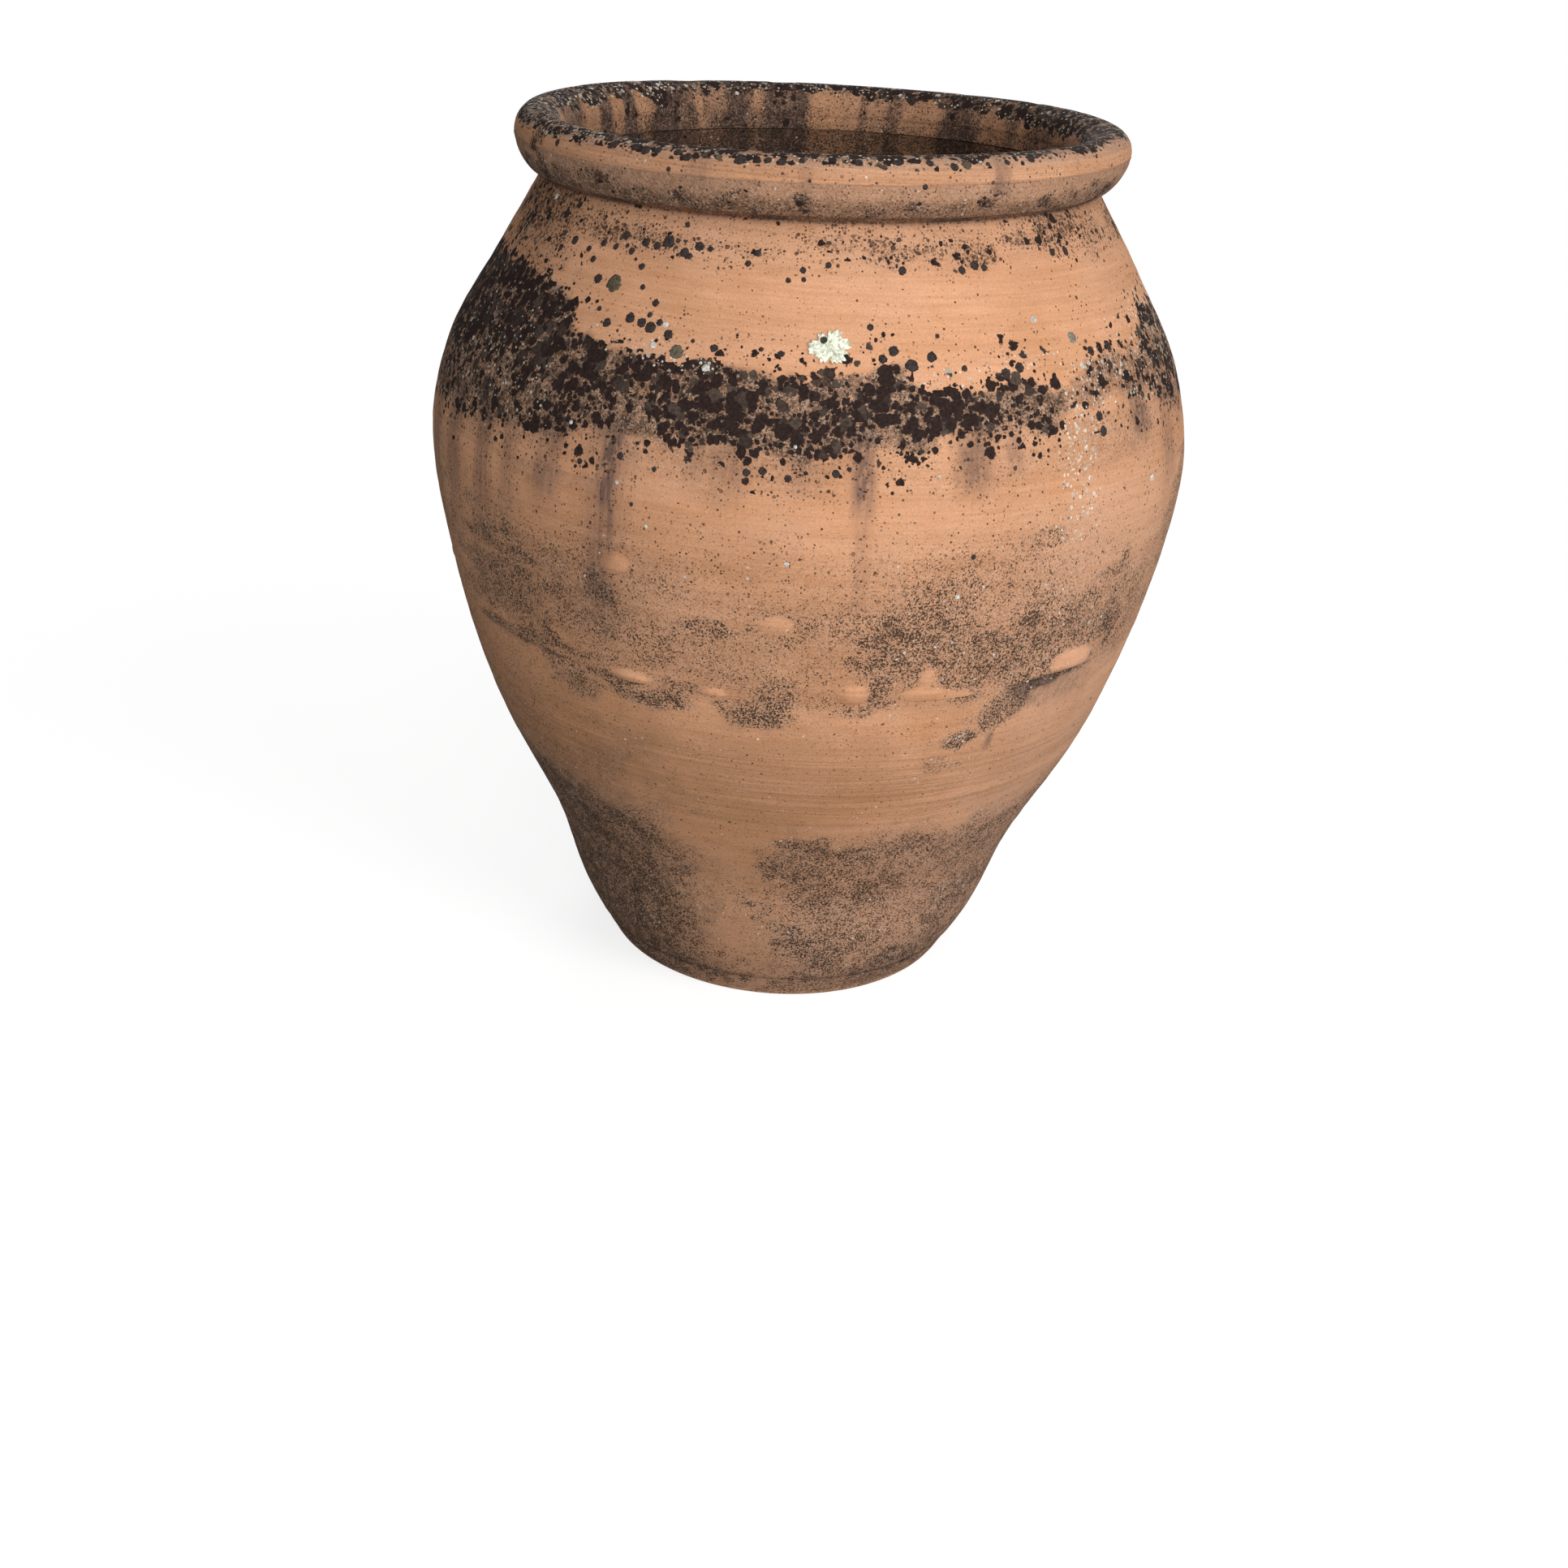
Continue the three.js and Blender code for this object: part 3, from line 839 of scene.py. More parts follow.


# Patches of fine algae round the belly, where rain lies on the seam, with a few thin lines of painted shadow
# under the lapped edge: azimuth, height, half width, half height and strength.
belly_algae_and_lip_shade = [
    (17, 0.398, 14, 0.044, 0.74),
    (37, 0.395, 14, 0.054, 0.82),
    (52, 0.405, 10, 0.050, 0.72),
    # The next two are thin dark lines along the lapped edge on the left: algae, and painted shadow under the
    # edge.
    (-34, 0.368, 9.0, 0.008, 0.80),
    (-50, 0.362, 12, 0.008, 0.85),
    (-27, 0.352, 8.0, 0.009, 0.80),
    (-44, 0.400, 16, 0.050, 0.52),
    (-12.5, 0.414, 8.0, 0.011, 0.85),
    (-28, 0.432, 3.4, 0.022, 0.70),
    (-32, 0.400, 11, 0.018, 0.55),
    (-21, 0.392, 6.0, 0.020, 0.55),
    (-38, 0.372, 3.4, 0.011, 0.78),
    (-36, 0.345, 7.0, 0.024, 0.68),
    (-20, 0.342, 7.0, 0.012, 0.95),
    (-16, 0.356, 4.5, 0.008, 0.75),
    (-4.5, 0.347, 5.5, 0.017, 0.86),
    (-2, 0.366, 3.4, 0.010, 0.65),
    (4, 0.356, 4.5, 0.012, 0.42),
    (-2, 0.408, 5.0, 0.010, 0.55),
    (13, 0.408, 6.0, 0.032, 0.90),
    (12, 0.366, 5.0, 0.020, 0.82),
    (9, 0.349, 5.0, 0.009, 0.65),
    (30, 0.395, 8.5, 0.034, 0.88),
    (34.5, 0.418, 4.0, 0.024, 1.00),
    (22, 0.430, 10, 0.013, 0.60),
    (26, 0.364, 6.5, 0.022, 0.78),
    (33, 0.336, 5.5, 0.020, 0.78),
    (28, 0.316, 2.6, 0.010, 1.00),
    (25, 0.290, 5.0, 0.008, 0.40),
    # A thin dark line under the fold: algae, and painted shadow under it.
    (44, 0.360, 8.0, 0.004, 1.00),
    (54.5, 0.392, 3.4, 0.022, 1.00),
    (46, 0.428, 4.5, 0.014, 0.60),
    (34.5, 0.485, 5.0, 0.008, 0.62),
    (35, 0.460, 7.0, 0.022, 0.40),
    (60, 0.400, 7.0, 0.055, 0.60),
    (73, 0.470, 7.0, 0.045, 0.60),
    (-45, 0.420, 9.0, 0.045, 0.72),
    (-58, 0.410, 10, 0.065, 0.62),
    (-70, 0.330, 9.0, 0.070, 0.45),
    (82, 0.400, 14, 0.060, 0.62),
    (110, 0.390, 16, 0.045, 0.70),
    (146, 0.370, 20, 0.035, 0.80),
    (178, 0.420, 14, 0.030, 0.60),
    (-165, 0.360, 14, 0.025, 0.75),
    (-132, 0.400, 18, 0.045, 0.80),
    (-97, 0.390, 14, 0.055, 0.65),
]


def seam_algae_and_lip_shade(height):
    """Fine algae round the belly: in patches at the seam, with thin lines of painted shadow under the lapped
    edge, and a thin scatter above it.
    """
    right = sector(5, 25, 30, 50)
    thin = smooth_step(0.335, 0.370, height) * smooth_step(0.53, 0.42, height) * (0.38 + 0.26 * right)
    return np.maximum(most(height, belly_algae_and_lip_shade), thin * (1 + 0.5 * mottle(turn, height, 0.05, 0.025, 63)))


def scraped_rings(height):
    """Where the last passes of the rib left fine stripes of slurry on the lower belly."""
    ends = 0.006 * mottle(turn, height, 0.20, 0.05, 64)
    return smooth_step(0.218, 0.240, height + ends) * smooth_step(0.325, 0.285, height + ends)


lower_outer, lower_inner = wall_rows(foot_joint, seam_joint)
lower_outer = lower_outer + seam_wave(lower_outer)
lip_line = seam_height + seam_wave(np.full_like(lower_outer, seam_height))
under_lip = smooth_step(0.006, 0.0, lip_line - lower_outer) * lip_rise(lip_line)
lower_belly_section = wall_section("lower_belly_section", lower_outer, lower_inner, -0.25 * under_lip)
lower_grown = np.maximum(foot_algae(lower_outer), seam_algae_and_lip_shade(lower_outer))
# A broad patch low on the left, partly painted shade on the side away from the key light, and a haze below
# the fold at 46 degrees, which is painted shade under it.
lower_film_and_shade = [(-50, 0.20, 30, 0.12, 0.34), (46, 0.346, 12, 0.018, 0.45)]
# The two entries at the seam, at 41 and -47 degrees, are painted shadow under the lapped edge; the first is a
# run.
lower_drips_and_lip_shadow = [
    (33.4, 0.308, 0.9, 0.012, 0.7),
    (41, 0.356, 7, 0.007, 0.9),
    (-47, 0.3565, 14, 0.0035, 0.7),
]
lower_crusts = [
    (28, 0.316, 1.8, 0.008, 0.5),
    (15, 0.248, 1.2, 0.005, 0.6),
    (0, 0.25, 60, 0.08, 0.02),
    (25, 0.35, 20, 0.02, 0.05),
]
lower_damp = damp_and_side_shade(lower_outer) + most(lower_outer, [(-2, 0.275, 30, 0.060, 0.20)])
paint_wall(
    lower_belly_section,
    lower_outer,
    lower_inner,
    damp=lower_damp + 0.06 * lower_grown,
    # The bloom over the right side, from 20 to 110 degrees, is painted sheen.
    bloom=0.28 * lower_grown + 0.22 * sector(20, 45, 70, 110),
    film=0.34 * lower_grown + most(lower_outer, lower_film_and_shade),
    algae=np.maximum(lower_grown, 0.12 + 0.22 * smooth_step(-25, -60, azimuth)),
    drips=most(lower_outer, lower_drips_and_lip_shadow),
    specks=0.05,
    rings=0.10 + 0.75 * scraped_rings(lower_outer),
    pale=most(lower_outer, lower_crusts),
)
weathered_clay(lower_belly_section)
join_frame(lower_belly_section, "lower_belly_section")


# Upper belly section
# The third section, lapped a few millimetres proud over the one below and pressed down with the
# fingers. Their dabs dried smoother than the wall, and rain hasn't blackened them.
seam_radius = 0.31
shoulder_joint = (0.517, 0.527)

# Each dab is its azimuth, height, half width, half height and rise.
dabs = [
    (-24.0, 0.3590, 0.0140, 0.0046, 0.0030),
    (-11.0, 0.3560, 0.0090, 0.0048, 0.0022),
    (8.8, 0.3640, 0.0098, 0.0080, 0.0042),
    (19.5, 0.3640, 0.0150, 0.0070, 0.0024),
    (19.7, 0.3730, 0.0055, 0.0100, 0.0016),
    (24.0, 0.3590, 0.0160, 0.0050, 0.0016),
    (45.5, 0.3725, 0.0200, 0.0075, 0.0042),
    (-2.4, 0.4230, 0.0105, 0.0058, 0.0017),
    (-25.2, 0.4560, 0.0095, 0.0066, 0.0018),
    (-60.0, 0.4250, 0.0150, 0.0100, 0.0008),
    (-61.5, 0.3960, 0.0150, 0.0080, 0.0007),
    (-84.0, 0.3660, 0.0170, 0.0080, 0.0034),
    (98.0, 0.3670, 0.0170, 0.0090, 0.0036),
    (137.0, 0.3640, 0.0200, 0.0070, 0.0030),
    (176.0, 0.3660, 0.0140, 0.0090, 0.0036),
    (-128.0, 0.3650, 0.0200, 0.0080, 0.0030),
]

# From the right end of the fold on the right, a crease runs up the wall: heights and azimuths.
crease_height = [0.374, 0.382, 0.392, 0.406, 0.413]
crease_azimuth = [54.7, 57.0, 57.8, 56.0, 53.2]


def creased(height):
    """1 along the crease beside the fold and 0 away from it."""
    line = np.interp(height, crease_height, crease_azimuth)
    across = abs(np.radians(azimuth - line)) * seam_radius + 0.0012 * mottle(turn, height, 0.012, 0.008, 72)
    along = smooth_step(0.366, 0.375, height) * smooth_step(0.418, 0.408, height)
    return smooth_step(0.0042, 0.0008, across) * along


def pressed(height):
    """The dabs on the wall: how far they rise, and where their smooth clay shows."""
    rise = np.zeros_like(height)
    smooth = np.zeros_like(height)
    for centre, middle, half_width, half_height, peak in dabs:
        across = np.radians(from_azimuth(centre)) * seam_radius / half_width
        bent = 0.22 * mottle(turn, height, 0.02, 0.012, 71)
        away = np.hypot(across, (height - middle) / half_height) + bent
        rise = np.maximum(rise, peak * smooth_step(1.45, 0.45, away))
        smooth = np.maximum(smooth, min(1.0, peak / 0.0018) * smooth_step(1.50, 0.95, away))
    return rise, smooth


# The band of black lichen round the shoulder: its upper and lower edges, as azimuths and heights.
band_top = [
    (-180, 0.640), (-140, 0.650), (-100, 0.655), (-72, 0.650), (-45, 0.645), (-41, 0.638), (-38, 0.616),
    (-30, 0.611), (-14, 0.605), (0, 0.604), (6, 0.607), (10, 0.616), (14, 0.616), (18, 0.604),
    (25, 0.602), (33, 0.606), (37, 0.600), (41, 0.592), (46, 0.606), (54, 0.612), (61, 0.610),
    (70, 0.628), (110, 0.636), (150, 0.622), (180, 0.640),
]
band_foot = [
    (-180, 0.545), (-120, 0.526), (-80, 0.520), (-50, 0.528), (-40, 0.530), (-33, 0.538), (-22, 0.546),
    (-12, 0.552), (-8, 0.543), (0, 0.540), (5, 0.543), (8, 0.552), (20, 0.555), (36, 0.558),
    (41, 0.573), (50, 0.568), (60, 0.560), (72, 0.540), (110, 0.540), (150, 0.556), (180, 0.545),
]


def band_cover(height, above=0.0, below=0.0):
    """1 inside the shoulder's dark band and 0 outside it. It can reach farther above and below."""
    top = at_columns(band_top) + above
    foot = at_columns(band_foot) - below
    ragged = 0.007 * mottle(turn, height, 0.026, 0.018, 81)
    ragged = ragged + 0.005 * mottle(turn, height, 0.011, 0.009, 82)
    below_top = smooth_step(top + 0.004, top - 0.005, height + ragged)
    return below_top * smooth_step(foot - 0.008, foot + 0.014, height + ragged)


# Where the band is thickest, as azimuth, height, half width, half height and strength.
band_thickest = [(-8, 0.584, 18, 0.022, 1.0), (15, 0.592, 11, 0.018, 0.8), (33, 0.590, 7, 0.016, 0.8)]


def band_lichen(height):
    """Black lichen: nearly closed in the band, with thinner places, and sparse beyond its edges."""
    gap = smooth_step(3.0, 1.2, abs(from_azimuth(39.2)))
    left = smooth_step(-38, -48, azimuth)
    right = sector(40, 44, 80, 100)
    clumps = mottle(turn, height, 0.026, 0.018, 83) + 0.55 * mottle(turn, height, 0.012, 0.010, 84)
    closed = 0.50 + 0.50 * smooth_step(-0.34, 0.10, clumps) + 0.34 * most(height, band_thickest)
    lower_half = smooth_step(0.600, 0.555, height)
    closed = closed + 0.35 * left * (1 - lower_half) - (0.20 + 0.16 * left) * lower_half
    thinned = (1 - 0.75 * gap) * (1 - 0.16 * right * smooth_step(70, 60, azimuth))
    sparse = 0.20 * band_cover(height, 0.018, 0.018)
    return np.maximum(band_cover(height) * np.clip(closed, 0.24, 1.0) * thinned, sparse)


def band_film(height):
    """Brown crumbs between the lichen discs, and a haze below them where water carries dirt down."""
    lower = band_cover(height, -0.005, -0.004)
    below = smooth_step(0.500, 0.552, height) * smooth_step(0.580, 0.560, height)
    soft = 0.20 + 0.20 * mottle(turn, height, 0.05, 0.05, 85) + 0.40 * smooth_step(-30, -48, azimuth)
    right = sector(40, 44, 80, 100)
    return np.maximum((0.98 - 0.25 * right) * lower, soft * below)


# Dark drips washed down from the band: azimuth, top, bottom, half width and strength.
drips = [
    (-26.6, 0.550, 0.430, 1.50, 1.00),
    (-27.0, 0.550, 0.440, 3.40, 0.42),
    (-27.8, 0.500, 0.360, 1.9, 0.55),
    (-37.0, 0.545, 0.470, 2.2, 0.60),
    (-45.0, 0.540, 0.455, 1.3, 0.45),
    (-51.5, 0.540, 0.420, 2.0, 0.62),
    (-61.0, 0.540, 0.410, 2.4, 0.55),
    (-71.0, 0.540, 0.400, 2.6, 0.50),
    (7.9, 0.560, 0.490, 1.30, 0.92),
    (8.1, 0.500, 0.420, 0.9, 0.30),
    (-10.5, 0.550, 0.500, 2.4, 0.45),
    (-14.5, 0.550, 0.515, 1.4, 0.32),
    (0.5, 0.545, 0.515, 2.2, 0.25),
    (23.5, 0.556, 0.515, 2.2, 0.70),
    (29.5, 0.557, 0.530, 1.2, 0.45),
    (56.0, 0.566, 0.538, 2.2, 0.90),
    (65.0, 0.560, 0.480, 2.6, 0.45),
    (84.0, 0.560, 0.470, 3.0, 0.55),
    (108.0, 0.560, 0.500, 2.5, 0.50),
    (131.0, 0.555, 0.430, 2.0, 0.75),
    (152.0, 0.555, 0.480, 2.5, 0.50),
    (175.0, 0.550, 0.450, 1.8, 0.70),
    (-163.0, 0.550, 0.490, 2.6, 0.45),
    (-142.0, 0.540, 0.440, 2.2, 0.65),
    (-118.0, 0.540, 0.490, 2.5, 0.50),
    (-97.0, 0.540, 0.420, 2.6, 0.60),
    (-84.0, 0.540, 0.460, 2.2, 0.45),
]


def washed_down(height):
    """The drips, which sway a little and fade as they fall."""
    wash = np.zeros_like(height)
    for index, (centre, top, bottom, half_width, strength) in enumerate(drips):
        sway = 0.22 * mottle(np.zeros(columns), height, 1.0, 0.05, 91 + index)
        across = abs(from_azimuth(centre) / half_width + sway)
        faded = smooth_step(bottom, bottom + 0.6 * (top - bottom), height)
        length = faded * smooth_step(top + 0.02, top, height)
        wash = np.maximum(wash, strength * smooth_step(1.75, 0.35, across) * length)
    return wash


def scattered_specks(height):
    """Small round specks: few on the clear shoulder, more on the belly and thick under the rim."""
    belly = 0.13 * smooth_step(0.555, 0.52, height) * smooth_step(0.35, 0.40, height)
    neck = smooth_step(0.660, 0.682, height + 0.006 * mottle(turn, height, 0.06, 0.03, 101))
    neck = neck * (0.42 + 0.24 * mottle(turn, height, 0.05, 0.022, 102))
    beside_band = 0.14 * band_cover(height, 0.030, 0.025)
    return 0.045 + belly + neck + beside_band + 0.30 * washed_down(height)


upper_outer, upper_inner = wall_rows(seam_joint, shoulder_joint)
upper_outer = upper_outer + seam_wave(upper_outer)
dab_rise, dab_smooth = pressed(upper_outer)
above_lip = upper_outer - seam_height - seam_wave(np.full_like(upper_outer, seam_height))
lip = lip_rise(upper_outer)
lapped = lip * smooth_step(0.024, 0.003, above_lip)
crease = creased(upper_outer)
lap = np.maximum(lapped, dab_rise) + 0.5 * np.minimum(lapped, dab_rise) - 0.0016 * crease
upper_belly_section = wall_section("upper_belly_section", upper_outer, upper_inner, lap)
upper_grown = seam_algae_and_lip_shade(upper_outer) * (1 - 0.92 * dab_smooth)
belly_film = [
    (-46, 0.42, 16, 0.05, 0.24),
    (-37, 0.53, 10, 0.03, 0.34),
    (-30, 0.425, 8, 0.035, 0.30),
    (-66, 0.50, 9, 0.05, 0.25),
]
belly_crusts = [(41, 0.505, 5, 0.026, 0.66), (38, 0.40, 32, 0.05, 0.05), (20, 0.43, 70, 0.06, 0.016)]
lip_shade = smooth_step(0.003, 0.0, above_lip) * smooth_step(0.0004, 0.003, lip)
paint_wall(
    upper_belly_section,
    upper_outer,
    upper_inner,
    damp=(damp_and_side_shade(upper_outer) + 0.08 * upper_grown) * (1 - 0.85 * dab_smooth),
    # The bloom over the right side, from 20 to 110 degrees, is painted sheen.
    bloom=0.20 * upper_grown + 0.16 * sector(20, 45, 70, 110),
    film=0.40 * upper_grown + band_film(upper_outer) + most(upper_outer, belly_film),
    # Along the crease the algae and drips coats paint it dark: dirt in it, and painted shade.
    algae=np.maximum.reduce([upper_grown, 0.62 * band_film(upper_outer), crease]),
    drips=washed_down(upper_outer) + lip_shade + 0.8 * crease,
    lichen=band_lichen(upper_outer),
    specks=scattered_specks(upper_outer) * (1 - dab_smooth),
    rings=0.22,
    pale=most(upper_outer, belly_crusts),
)
weathered_clay(upper_belly_section)
join_frame(upper_belly_section, "upper_belly_section")


# Shoulder section
# The fourth section, closed in to the neck with both hands. Rain runs off the rim on to it, so black
# lichen grows in a band round it, with finer specks under the rim and clean clay between.
neck_joint = neck_height - 0.0025
shoulder_outer, shoulder_inner = wall_rows(shoulder_joint, (neck_joint, neck_height + 0.008))
shoulder_section = wall_section("shoulder_section", shoulder_outer, shoulder_inner)

# Patches of black specks under the rim: azimuth, height, half width, half height and strength.
neck_stains = [
    (-62, 0.684, 20, 0.018, 1.00),
    (-40, 0.682, 9, 0.009, 0.90),
    (-28, 0.681, 8, 0.006, 0.75),
    (-18, 0.682, 7, 0.004, 0.45),
    (-9, 0.681, 3, 0.003, 0.50),
    (3, 0.688, 5, 0.007, 0.45),
    (13, 0.683, 5, 0.009, 0.70),
    (22, 0.684, 4, 0.008, 0.50),
    (29, 0.682, 7, 0.013, 0.95),
    (38, 0.688, 5, 0.009, 0.70),
    (49, 0.687, 7.5, 0.014, 1.00),
    (62, 0.682, 9, 0.014, 0.50),
    (85, 0.680, 14, 0.014, 0.70),
    (120, 0.684, 12, 0.012, 0.60),
    (160, 0.680, 16, 0.014, 0.75),
    (-160, 0.684, 10, 0.010, 0.60),
    (-125, 0.678, 18, 0.018, 0.85),
    (-95, 0.675, 14, 0.020, 0.90),
]
neck_patches = most(shoulder_outer, neck_stains)
left_cover = most(shoulder_outer, [(-62, 0.655, 18, 0.024, 0.80), (-100, 0.655, 24, 0.030, 0.70)])
under_rim = smooth_step(0.655, 0.690, shoulder_outer + 0.008 * mottle(turn, shoulder_outer, 0.08, 0.04, 103))

# Patches of pale crust among the black, listed in the same way.
shoulder_crusts = [
    (40.5, 0.540, 3.5, 0.040, 0.80),
    (-60, 0.585, 20, 0.055, 0.22),
    (74, 0.610, 12, 0.035, 0.40),
    (51, 0.585, 8, 0.022, 0.45),
    (21, 0.605, 5, 0.007, 0.50),
    (-20, 0.606, 8, 0.008, 0.42),
    (-25, 0.612, 9, 0.009, 0.34),
    (-15, 0.607, 3, 0.006, 0.35),
    (30, 0.612, 14, 0.008, 0.22),
    (46, 0.602, 9, 0.006, 0.36),
    (62, 0.595, 8, 0.03, 0.30),
    (-62, 0.66, 14, 0.03, 0.12),
    (150, 0.61, 40, 0.02, 0.20),
]
shoulder_film = band_film(shoulder_outer)
neck_algae = 0.36 * neck_patches + 0.14 * under_rim + 0.3 * left_cover
neck_lichen = 0.32 * neck_patches + 0.08 * under_rim
paint_wall(
    shoulder_section,
    shoulder_outer,
    shoulder_inner,
    # The top of the shoulder, under the rim roll, is painted browner: painted shade under the roll.
    damp=damp_and_side_shade(shoulder_outer) + 0.34 * smooth_step(0.688, 0.701, shoulder_outer),
    bloom=0.12 * under_rim,
    film=shoulder_film + 0.22 * neck_patches + 0.08 * under_rim + 0.26 * left_cover,
    algae=np.maximum(0.62 * shoulder_film, neck_algae),
    # A dark line along the top edge of the shoulder: dirt, and painted shadow in the groove under the rim
    # roll.
    drips=washed_down(shoulder_outer) + 0.95 * smooth_step(0.0028, 0.0010, neck_joint - shoulder_outer),
    lichen=np.maximum.reduce([band_lichen(shoulder_outer), neck_lichen, 0.40 * left_cover]),
    specks=scattered_specks(shoulder_outer) + 0.62 * neck_patches + 0.45 * left_cover,
    rings=0.16,
    pale=most(shoulder_outer, shoulder_crusts),
)
weathered_clay(shoulder_section)
join_frame(shoulder_section, "shoulder_section")


# Rim roll
# A thick coil luted to the neck and turned to a round crest, with a fine line cut round it below the
# crest. Water lies on its crest, which is black with lichen.
arris_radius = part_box("rim_roll")[1][0]
crest_radius = arris_radius - 0.017
inner_roll = 0.025
mouth_radius = crest_radius - inner_roll
cut_height = neck_height + 0.0272
rim_step = 0.00123


def bowed(points, count=8):
    """A smooth curve through the points, with count steps between each two."""
    before_first = 2 * np.array(points[0]) - points[1]
    after_last = 2 * np.array(points[-1]) - points[-2]
    knots = np.array([before_first, *points, after_last])
    curve = []
    for before, start, end, after in zip(knots, knots[1:], knots[2:], knots[3:]):
        for t in np.linspace(0, 1, count, endpoint=False):
            pull = (end - before) * t * (1 - t) ** 2 + (start - after) * t**2 * (1 - t)
            curve.append(start + (end - start) * t * t * (3 - 2 * t) + 0.5 * pull)
    return [*curve, knots[-2]]


outer_face = bowed(
    [
        (float(wall_radius(neck_height)) + 0.0006, neck_joint),
        (arris_radius - 0.0140, neck_height + 0.0018),
        (arris_radius - 0.0076, neck_height + 0.0085),
        (arris_radius - 0.0028, neck_height + 0.0165),
        (arris_radius - 0.0004, neck_height + 0.0245),
        (arris_radius, neck_height + 0.0294),
        (arris_radius - 0.0022, jar_height - 0.0085),
        (arris_radius - 0.0085, jar_height - 0.0022),
        (crest_radius, jar_height),
    ]
)
inner_face = [
    (crest_radius + inner_roll * math.cos(a), jar_height - inner_roll + inner_roll * math.sin(a))
    for a in np.radians(np.linspace(95, 176, 20))
]
rim_outline = rows([*outer_face, *inner_face, (mouth_radius, neck_height + 0.0080)], rim_step)
seam_face = rows([tuple(rim_outline[-1]), tuple(rim_outline[0])], 0.006)[1:-1]
rim_profile = np.concatenate([rim_outline, seam_face])
rim_radius, rim_z = all_round(rim_profile)
away_r = rim_radius - crest_radius
away_z = rim_z - (neck_height + 0.022)
away = np.hypot(away_r, away_z)
free_face = np.ones_like(away)
free_face[len(rim_outline) :] = 0
free_face[[0, len(rim_outline) - 1]] = 0
outside = smooth_step(0.0, 0.004, away_r)
cut_line = -0.0007 * smooth_step(0.0013, 0.0003, abs(rim_z - cut_height)) * outside
step_line = 0.00035 * smooth_step(cut_height + 0.0012, cut_height - 0.0006, rim_z) * outside
along_skin = rim_z + away_r
hand_turned = 0.0007 * mottle(turn, along_skin, 0.16, 0.05, 111)
hand_turned = hand_turned + 0.00022 * mottle(turn, rim_z, 0.6, 0.0035, 112)
worn_crest = -0.0006 * smooth_step(0.3, 1.0, mottle(turn, along_skin, 0.018, 0.012, 113)) * (rim_z > 0.74)
inner_seam_height = 0.7235 + 0.0007 * mottle(turn, rim_z, 0.1, 1, 117)
inner_seam = -0.0007 * smooth_step(0.0016, 0.0004, abs(rim_z - inner_seam_height))
swell = cut_line + step_line + hand_turned + worn_crest + inner_seam * (1 - outside)
swell = free_face * swell / away
rim_skin_radius = rim_radius + away_r * swell
rim_skin_height = rim_z + away_z * swell
rim_roll = ring_of_clay("rim_roll", rim_skin_radius, rim_skin_height)

# How far down inside the mouth the black crest reaches, as azimuths and heights.
crest_foot = [
    (-180, 0.742), (-150, 0.742), (-140, 0.741), (-136, 0.728), (-130, 0.741), (-110, 0.738),
    (-80, 0.740), (0, 0.744), (80, 0.740), (108, 0.733), (130, 0.734), (136, 0.742), (144, 0.738),
    (150, 0.734), (154, 0.742), (180, 0.742),
]
inner_black = at_columns(crest_foot)
ragged_edge = 0.0032 * mottle(turn, along_skin, 0.020, 0.020, 114)
ragged_edge = ragged_edge + 0.0016 * mottle(turn, rim_z, 0.008, 0.02, 118)
left_low = 0.0030 * smooth_step(-20, -60, azimuth) - 0.0010 * smooth_step(0, 40, azimuth)
outer_black = 0.7465 - left_low
over_outer = smooth_step(outer_black - 0.0040, outer_black + 0.0024, rim_z + 0.8 * ragged_edge)
over_inner = smooth_step(inner_black - 0.0025, inner_black + 0.0035, rim_z + 1.3 * ragged_edge)
black_crest = outside * over_outer + (1 - outside) * over_inner
spotted = 0.24 * outside * smooth_step(0.7400, 0.7460, rim_z) * smooth_step(15, -10, azimuth)
spotted = spotted + 0.14 * outside * smooth_step(0.7400, 0.7465, rim_z)
lower_band = smooth_step(cut_height + 0.0006, cut_height - 0.0010, rim_z)

# Black stains round the rim's lower half: azimuth, height, half width, half height and strength.
stained_places = [
    (-60, 0.736, 2.5, 0.010, 0.85),
    (-42, 0.722, 6.0, 0.006, 0.80),
    (-60, 0.716, 14, 0.010, 0.80),
    (-33, 0.714, 8.0, 0.006, 0.50),
    (-23, 0.716, 4.0, 0.008, 0.80),
    (-13.5, 0.716, 4.0, 0.007, 0.78),
    (-2, 0.718, 2.0, 0.007, 0.95),
    (8, 0.712, 3.5, 0.004, 0.65),
    (17, 0.716, 3.5, 0.007, 0.70),
    (29.5, 0.719, 4.0, 0.007, 1.00),
    (48, 0.717, 6.5, 0.008, 0.88),
    (62, 0.716, 8.0, 0.009, 0.80),
    (90, 0.716, 12, 0.010, 0.80),
    (130, 0.714, 10, 0.008, 0.75),
    (170, 0.716, 12, 0.009, 0.85),
    (-150, 0.716, 10, 0.009, 0.80),
    (-115, 0.717, 12, 0.010, 0.90),
    (-85, 0.718, 10, 0.012, 0.90),
]
rim_stains = most(rim_z, stained_places)
rim_stains = rim_stains * np.clip(0.90 + 0.90 * mottle(turn, rim_z, 0.014, 0.008, 120), 0, 1.3)
rim_runs = most(
    rim_z,
    [(31.5, 0.735, 1.4, 0.014, 0.60), (-20.5, 0.736, 2.6, 0.010, 0.40), (-2, 0.730, 1.2, 0.010, 0.35)],
)
mouth = inside_growth(rim_z)
# The rim's lower band is painted darker toward the left: painted shade on the side away from the key light.
left_rim_shade = smooth_step(10, -40, azimuth)
